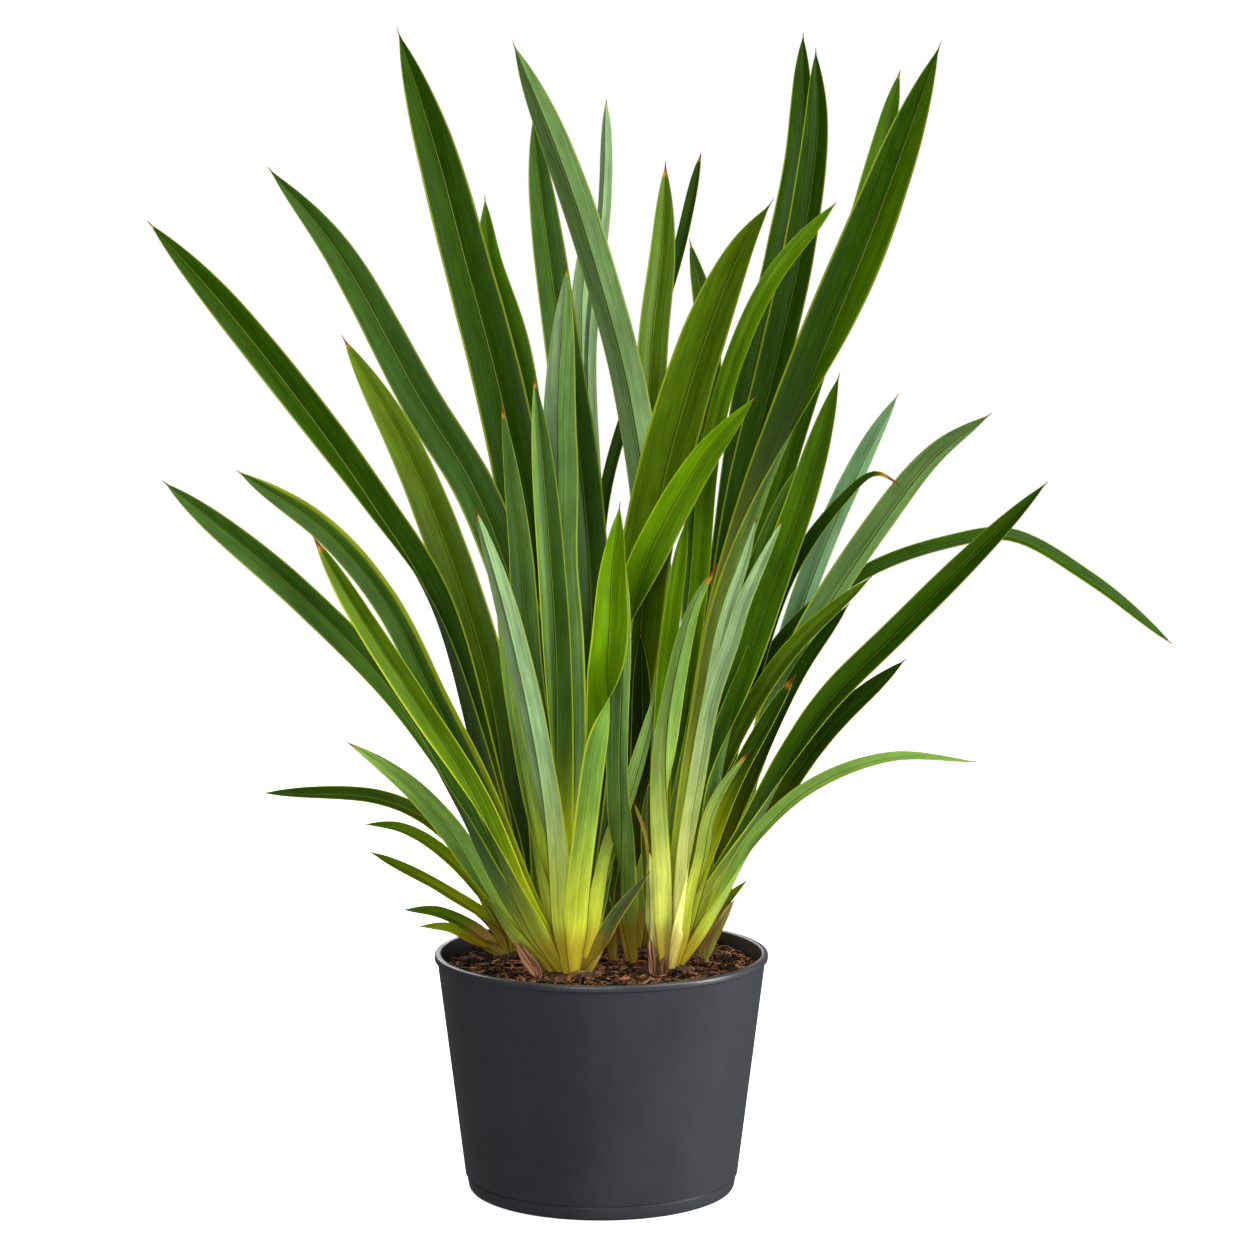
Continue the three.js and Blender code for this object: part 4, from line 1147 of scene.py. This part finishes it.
def turned_mesh(name, profile, sides):
    """A closed body of revolution whose profile starts and ends on the axis."""
    angles = np.arange(sides) * 2 * np.pi / sides
    body = profile[1:-1]
    points = [(r * math.cos(a) * MM, r * math.sin(a) * MM, z * MM)
              for r, z in body for a in angles]
    points += [(0, 0, profile[0][1] * MM), (0, 0, profile[-1][1] * MM)]
    return new_piece(name, points, closed_faces(len(body), sides))


pot = turned_mesh("flower_pot", pot_profile, POT_SIDES)
pot.data.set_sharp_from_angle(angle=math.radians(38))
print("pot measures", [round(c, 3) for c in pot.dimensions], "m")

# %% [markdown]
# Water has to drain from the pot, so its floor has a ring of holes. They are drilled with
# a boolean modifier, which is then applied: the floor keeps its thickness and the holes
# their clean edges. Leaving faces out of the floor would show it as a sheet.

# %% Drain holes
DRAIN_HOLES = 8
DRAIN_RADIUS = 5
DRAIN_CIRCLE = 72


def drill(body, x, y):
    """Sets a drill at a place under a body, and returns it for clearing away."""
    profile = [(0, -5), (DRAIN_RADIUS, -5), (DRAIN_RADIUS, 12), (0, 12)]
    pin = turned_mesh("drain_pin", profile, 20)
    pin.location = (x * MM, y * MM, 0)
    cut = body.modifiers.new("drain", "BOOLEAN")
    cut.operation = "DIFFERENCE"
    cut.object = pin
    return pin


hole_angles = [i * math.tau / DRAIN_HOLES for i in range(DRAIN_HOLES)]
pins = [drill(pot, DRAIN_CIRCLE * math.cos(a), DRAIN_CIRCLE * math.sin(a)) for a in hole_angles]
bpy.context.view_layer.update()
drilled_pot = pot.evaluated_get(bpy.context.evaluated_depsgraph_get())
drilled = bpy.data.meshes.new_from_object(drilled_pot)
pot.modifiers.clear()
pot.data = drilled
for pin in pins:
    bpy.data.objects.remove(pin)
print("the drilled pot has", len(pot.data.polygons), "faces")

# %% [markdown]
# The plastic is charcoal grey with a fine moulded grain, so its highlights are wide and
# soft. Handling leaves the tone slightly uneven. One flat grey would do for a distant
# view, but close up the grain and the scuffs are what tells plastic from paint.

# %% Pot finish
plastic = Finish("charcoal_plastic")
pot_place = plastic.place()
fine_grain = plastic.grain(pot_place, 900, 2, 0.6)
scuffs = plastic.grain(plastic.squeeze(pot_place, (9, 9, 5)), 1.6, 5, 0.62)
tone = plastic.blend(plastic.rise(scuffs, 0.3, 0.7), colour(49, 50, 55), colour(55, 56, 61))
tone = plastic.blend(plastic.rise(fine_grain, 0.4, 0.7, 0.0, 0.25), tone, colour(62, 62, 66))
plastic.set(Base_Color=tone, Roughness=plastic.rise(scuffs, 0.3, 0.7, 0.3, 0.38),
            Specular_IOR_Level=0.5)
plastic.relief(fine_grain, 0.00012, 0.5)
pot.data.materials.clear()
pot.data.materials.append(plastic.material)
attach(pot, "root")
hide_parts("pot")
print("pot finished in", plastic.material.name)

# %% [markdown]
# ## Soil
#
# The soil is a dark mix of composted bark and coconut fibre. Its body is a plug that
# fills the pot, with a crumbly top. On it lie loose chips of bark and many curled
# strands. A displaced surface alone reads as mud, and loose pieces alone leave holes, so
# both are used: the surface gives the shade between, the pieces give the edges.

# %% Soil surface
SOIL_EDGE_DROP = 4
SOIL_RIPPLE = 1.6
CRUMB_SINK = 1.0


def soil_height(x, y):
    """The smooth surface: a low mound with slow ripples that fade out at the wall."""
    out = math.hypot(x, y) / inner_radius(SOIL_TOP)
    # Two slow waves cross each other, and a weaker one runs over them aslant.
    ripple = math.sin(x * 0.09 + 1.3) * math.cos(y * 0.11 - 0.4) + 0.5 * math.sin((x + y) * 0.17)
    return SOIL_TOP - SOIL_EDGE_DROP * out ** 4 + SOIL_RIPPLE * ripple * (1 - out ** 4)


def crumble(x, y):
    """Height above the smooth surface of fine crumbs and of clods about 9 mm wide."""
    place = Vector((x * 0.16, y * 0.16, 3.1))
    crumbs = noise.fractal(place, 0.8, 2.2, 4)
    clods = 1 - noise.voronoi(Vector((x * 0.11, y * 0.11, 0.4)))[0][0] * 1.6
    return 1.7 * crumbs + 1.6 * clods


def surface(x, y, crumbs=1):
    """Height of the crumbly surface, sunk by about the mean height of its crumbs."""
    return soil_height(x, y) + crumble(x, y) * crumbs - CRUMB_SINK


print("the soil is", round(surface(0, 0), 1), "mm high in the middle")

# %% Soil body
SOIL_RINGS = 84
SOIL_SECTORS = 220
SOIL_GAP = 0.6
SOIL_FOOT = FLOOR_THICKNESS + 0.3
FOOT_ROUND = 4.5
EDGE_CRUMBS = 0.2


def circle(radius):
    """Places round a circle, in millimetres."""
    angles = [math.tau * s / SOIL_SECTORS for s in range(SOIL_SECTORS)]
    return [(radius * math.cos(a), radius * math.sin(a)) for a in angles]


soil_edge = inner_radius(SOIL_TOP - SOIL_EDGE_DROP) - SOIL_GAP
soil_points = [(x, y, SOIL_FOOT)
               for x, y in circle(inner_radius(FLOOR_THICKNESS + FOOT_ROUND) - SOIL_GAP)]
for ring in range(SOIL_RINGS, 0, -1):
    crumbs = 1 if ring < SOIL_RINGS else EDGE_CRUMBS
    soil_points += [(x, y, surface(x, y, crumbs))
                    for x, y in circle(soil_edge * ring / SOIL_RINGS)]
soil_points += [(0, 0, SOIL_FOOT), (0, 0, surface(0, 0))]
potting_soil = new_piece("potting_soil", [(x * MM, y * MM, z * MM) for x, y, z in soil_points],
                         closed_faces(SOIL_RINGS + 1, SOIL_SECTORS))
print("soil body has", len(potting_soil.data.polygons), "faces")

# %% [markdown]
# Bark, coir and the fine soil between them are all rough, dull and fibrous: they differ
# in tone and in the size of their fibres. So one function makes all three finishes. Each
# loose piece brings a tone of its own in its mesh, where one noise over all of them would
# paint patches across neighbours.

# %% Soil finish
def earth_finish(name, dark, light, scale):
    """Rough earthy matter whose pieces differ in tone; tone comes from the mesh."""
    earth = Finish(name)
    fibres = earth.grain(earth.place(), scale, 4, 0.65)
    own_tone = earth.split(earth.read("part"))[0]
    share = earth.math("ADD", earth.rise(fibres, 0.35, 0.7, 0.0, 0.3), own_tone)
    earth.set(Base_Color=earth.blend(share, dark, light), Roughness=0.92, Specular_IOR_Level=0.2)
    earth.relief(fibres, 0.0006, 0.8)
    return earth.material


soil_finish = earth_finish("dark_soil", colour(7, 4, 3), colour(34, 21, 14), 420)
chip_finish = earth_finish("bark_chip", colour(10, 6, 4), colour(62, 39, 25), 700)
strand_finish = earth_finish("coir_strand", colour(22, 12, 7), colour(210, 146, 98), 600)
potting_soil.data.materials.append(soil_finish)
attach(potting_soil, "root")
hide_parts("soil")
print("soil finish ready")

# %% [markdown]
# A chip of bark is a small splinter: an eight-cornered block with every corner pushed
# about. A particle system could scatter copies of one chip, but real chips are all
# different. More than a thousand such blocks still make a light mesh. A random number in
# their attribute gives each its own tone.

# %% Bark chips
BARK_CHIPS = 1100
CORNERS = np.array([(a, b, c) for c in (-1, 1) for b in (-1, 1) for a in (-1, 1)], float)
CHIP_FACES = [(0, 2, 3, 1), (4, 5, 7, 6), (0, 1, 5, 4), (2, 6, 7, 3), (0, 4, 6, 2), (1, 3, 7, 5)]


def scattered_place(rng, reach):
    """A place on the soil, as likely in the middle as near the edge."""
    radius, angle = reach * math.sqrt(rng.uniform()), rng.uniform(0, math.tau)
    return radius * math.cos(angle), radius * math.sin(angle)


def chip(rng):
    """Corners of one splinter lying on the soil, in metres, and its six faces."""
    x, y = scattered_place(rng, soil_edge - 6)
    long, wide, thick = rng.uniform(3, 13), rng.uniform(1.6, 4.6), rng.uniform(0.7, 2.0)
    uneven = 1 + rng.uniform(-0.4, 0.25, (8, 3))
    corners = CORNERS * uneven * (long / 2, wide / 2, thick / 2)
    tilt = Euler((rng.normal(0, 0.5), rng.normal(0, 0.35), rng.uniform(0, math.tau)))
    corners = corners @ np.array(tilt.to_matrix()).T
    corners += (x, y, surface(x, y) + 0.35 * wide)
    return corners * MM, CHIP_FACES


def loose_pieces(name, pieces, finish, lowest_tone, highest_tone, rng):
    """One mesh of many small pieces, each with its own tone. Most of them are dark."""
    skins = []
    for points, faces in pieces:
        tone = lowest_tone + (highest_tone - lowest_tone) * rng.uniform() ** 3
        part = np.tile((tone, 0.0, 0.0), (len(points), 1))
        skins.append((dict(points=points, faces=faces, part=part), 0))
    made = joined_mesh(name, skins, [finish])
    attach(made, "root")
    print(name, "holds", len(skins), "pieces")
    return made


chip_rng = np.random.default_rng(11)
splinters = [chip(chip_rng) for _ in range(BARK_CHIPS)]
chips = loose_pieces("bark_chips", splinters, chip_finish, 0.0, 0.8, chip_rng)
chips.data.set_sharp_from_angle(angle=math.radians(35))

# %% [markdown]
# The strands are the hair of coconut husk: thin, springy and curled. Curve objects with a
# bevel would make them rounder, but at this size three sides look the same. Each strand
# is a tube along a path that wanders in heading and arches over the crumbs.

# %% Coir tubes
def tube(path, radii, sides=3):
    """Points and faces of a closed tube along a path, in metres."""
    path = np.asarray(path, float)
    along = np.gradient(path, axis=0)
    along /= np.linalg.norm(along, axis=1)[:, None]
    sideways = np.cross(along, (0.13, 0.21, 0.97))
    sideways /= np.linalg.norm(sideways, axis=1)[:, None]
    upwards = np.cross(sideways, along)
    angles = np.arange(sides) * math.tau / sides
    right, up = np.cos(angles)[:, None], np.sin(angles)[:, None]
    rings = [path[i] + radii[i] * (right * sideways[i] + up * upwards[i])
             for i in range(len(path))]
    faces = [(b, a, d, c) for a, b, c, d in ring_faces(len(path), sides)]
    end = (len(path) - 1) * sides
    faces += [tuple(range(sides)), tuple(end + j for j in reversed(range(sides)))]
    return np.vstack(rings) * MM, faces


straight = tube([(0, 0, 0), (10, 0, 0), (20, 0, 0)], [1, 1, 1])
print("a straight tube of two steps has", len(straight[1]), "faces")

# %% Coir strands
COIR_STRANDS = 1500
STRAND_STEPS = 6
STRAND_TAPER = (0.5, 0.9, 1, 1, 1, 0.8, 0.4)


def strand(rng):
    """One strand that starts anywhere on the soil and turns back at the pot's wall."""
    x, y = scattered_place(rng, soil_edge - 8)
    heading, curl = rng.uniform(0, math.tau), rng.normal(0, 0.7)
    length, arch = rng.uniform(8, 30), rng.uniform(0.4, 4.6)
    path = []
    for i in range(STRAND_STEPS + 1):
        lift = surface(x, y) + 0.4 + arch * math.sin(math.pi * (i / STRAND_STEPS))
        # It is too springy to follow every crumb, so each height is drawn to the last one.
        path.append((x, y, lift if i == 0 else 0.5 * (lift + path[-1][2])))
        heading += curl + rng.normal(0, 0.25)
        x += length / STRAND_STEPS * math.cos(heading)
        y += length / STRAND_STEPS * math.sin(heading)
        # A strand that reaches the wall turns back.
        if math.hypot(x, y) > soil_edge - 2:
            heading += 2.2
            x, y = x * 0.97, y * 0.97
    thick = 0.3 + 0.95 * rng.uniform() ** 2
    return tube(path, [thick * share for share in STRAND_TAPER])


strand_rng = np.random.default_rng(23)
hairs = [strand(strand_rng) for _ in range(COIR_STRANDS)]
loose_pieces("coir_strands", hairs, strand_finish, 0.05, 0.95, strand_rng)

# %% [markdown]
# ## Dry pieces
#
# Dead leaf has lost its wax and its green: it is papery, dull and striped along its
# length, and it dries in patches from the tip down. The finish of the green leaves with
# browner colours would still look wet, so the dry pieces get their own.

# %% Dry finish
def dry_finish(name, living, dead, deadest):
    """Papery leaf: living at its foot, dead further up, with stripes of the deadest."""
    papery = Finish(name)
    blade, part = papery.split(papery.read("blade")), papery.split(papery.read("part"))
    stripes = long_grain(papery, blade, 0.02, 0.9, 3, 0.6)
    patches = long_grain(papery, blade, 0.2, 0.25, 3, 0.6)
    dried = papery.math("ADD", papery.rise(part[1], 0.0, 1.0, 0.9, 0.0),
                        papery.rise(patches, 0.3, 0.7, -0.2, 0.3))
    tint = papery.blend(dried, living, dead)
    tint = papery.blend(papery.rise(stripes, 0.44, 0.54, 0.0, 0.9), tint, deadest)
    papery.set(Base_Color=tint, Roughness=0.72, Specular_IOR_Level=0.3)
    papery.relief(stripes, 0.0005, 0.8)
    return papery.material


sheath_finish = dry_finish("dry_sheath", colour(138, 94, 62), colour(196, 148, 106),
                           colour(46, 24, 16))
half_dry_finish = dry_finish("dry_leaf", colour(186, 204, 78), colour(255, 226, 178),
                             colour(186, 128, 80))
curl_finish = dry_finish("dry_curl", colour(176, 122, 70), colour(212, 160, 108),
                         colour(96, 56, 30))
print("dry finishes ready")

# %% [markdown]
# At the left of the clump a dead sheath leans against the leaves, red-brown and striped,
# and at the right stands a short leaf whose upper half has dried. Both are shaped like
# the other leaves, so the blade's own builder makes them.

# %% Dry sheath and half-dry leaf
def dry_piece(node, at, rise, through, width, turn, finish, replaces=True, **habit):
    """A dry leaf of its own, in place of its solid or as a small addition."""
    habit = {"pale": 0.8, "open_by": 0.2, **habit}
    blade = leaf(node, (0, 0, rise), through, width, turn, "dry_cream", **habit)
    skin = blade_skin(at, blade, len(node))
    made = joined_mesh(node + "_dressed", [(skin, 0)], [finish])
    made.data.set_sharp_from_angle(angle=math.radians(50))
    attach(made, "root")
    if replaces:
        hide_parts(node)
    print(made.name, "is", width, "mm wide and", "replaces its solid" if replaces else "added")


dry_piece("dry_sheath_left", (-56, -72), -5.5,
          [(-58, -72, 194), (-67, -74, 208), (-80, -76, 227)],
          17, 25, sheath_finish, taper=1.1, open_by=0.3)
dry_piece("dry_leaf_right", (93, 12), -5.5,
          [(93, 6, 214), (104, -12, 236), (120, -28, 263)],
          12, -10, half_dry_finish, taper=1.8)

# %% [markdown]
# At the foot of the front right fan stand two brown scales, the stubs of old leaves, and
# a curled scrap lies in front of the left one. They are too small to have solids of their
# own, and a painted mark on the soil would vanish from the side, so they are short blades.

# %% Scales and curled scrap
dry_piece("foot_scale", (46, -58), -3,
          [(45.6, -58, 208), (44.6, -59, 216), (43.7, -59, 228)],
          6.5, 15, sheath_finish, replaces=False, taper=1.2)
dry_piece("foot_stub", (54, -60), -3,
          [(55, -60, 203), (57, -61, 208), (60, -60, 215)],
          8, -20, sheath_finish, replaces=False, taper=1.2)
dry_piece("curled_scrap", (-31, -88), -3,
          [(-28, -88, 192), (-20, -89, 195.5), (-8.5, -88, 196)],
          8, 60, curl_finish, replaces=False, taper=1.4)
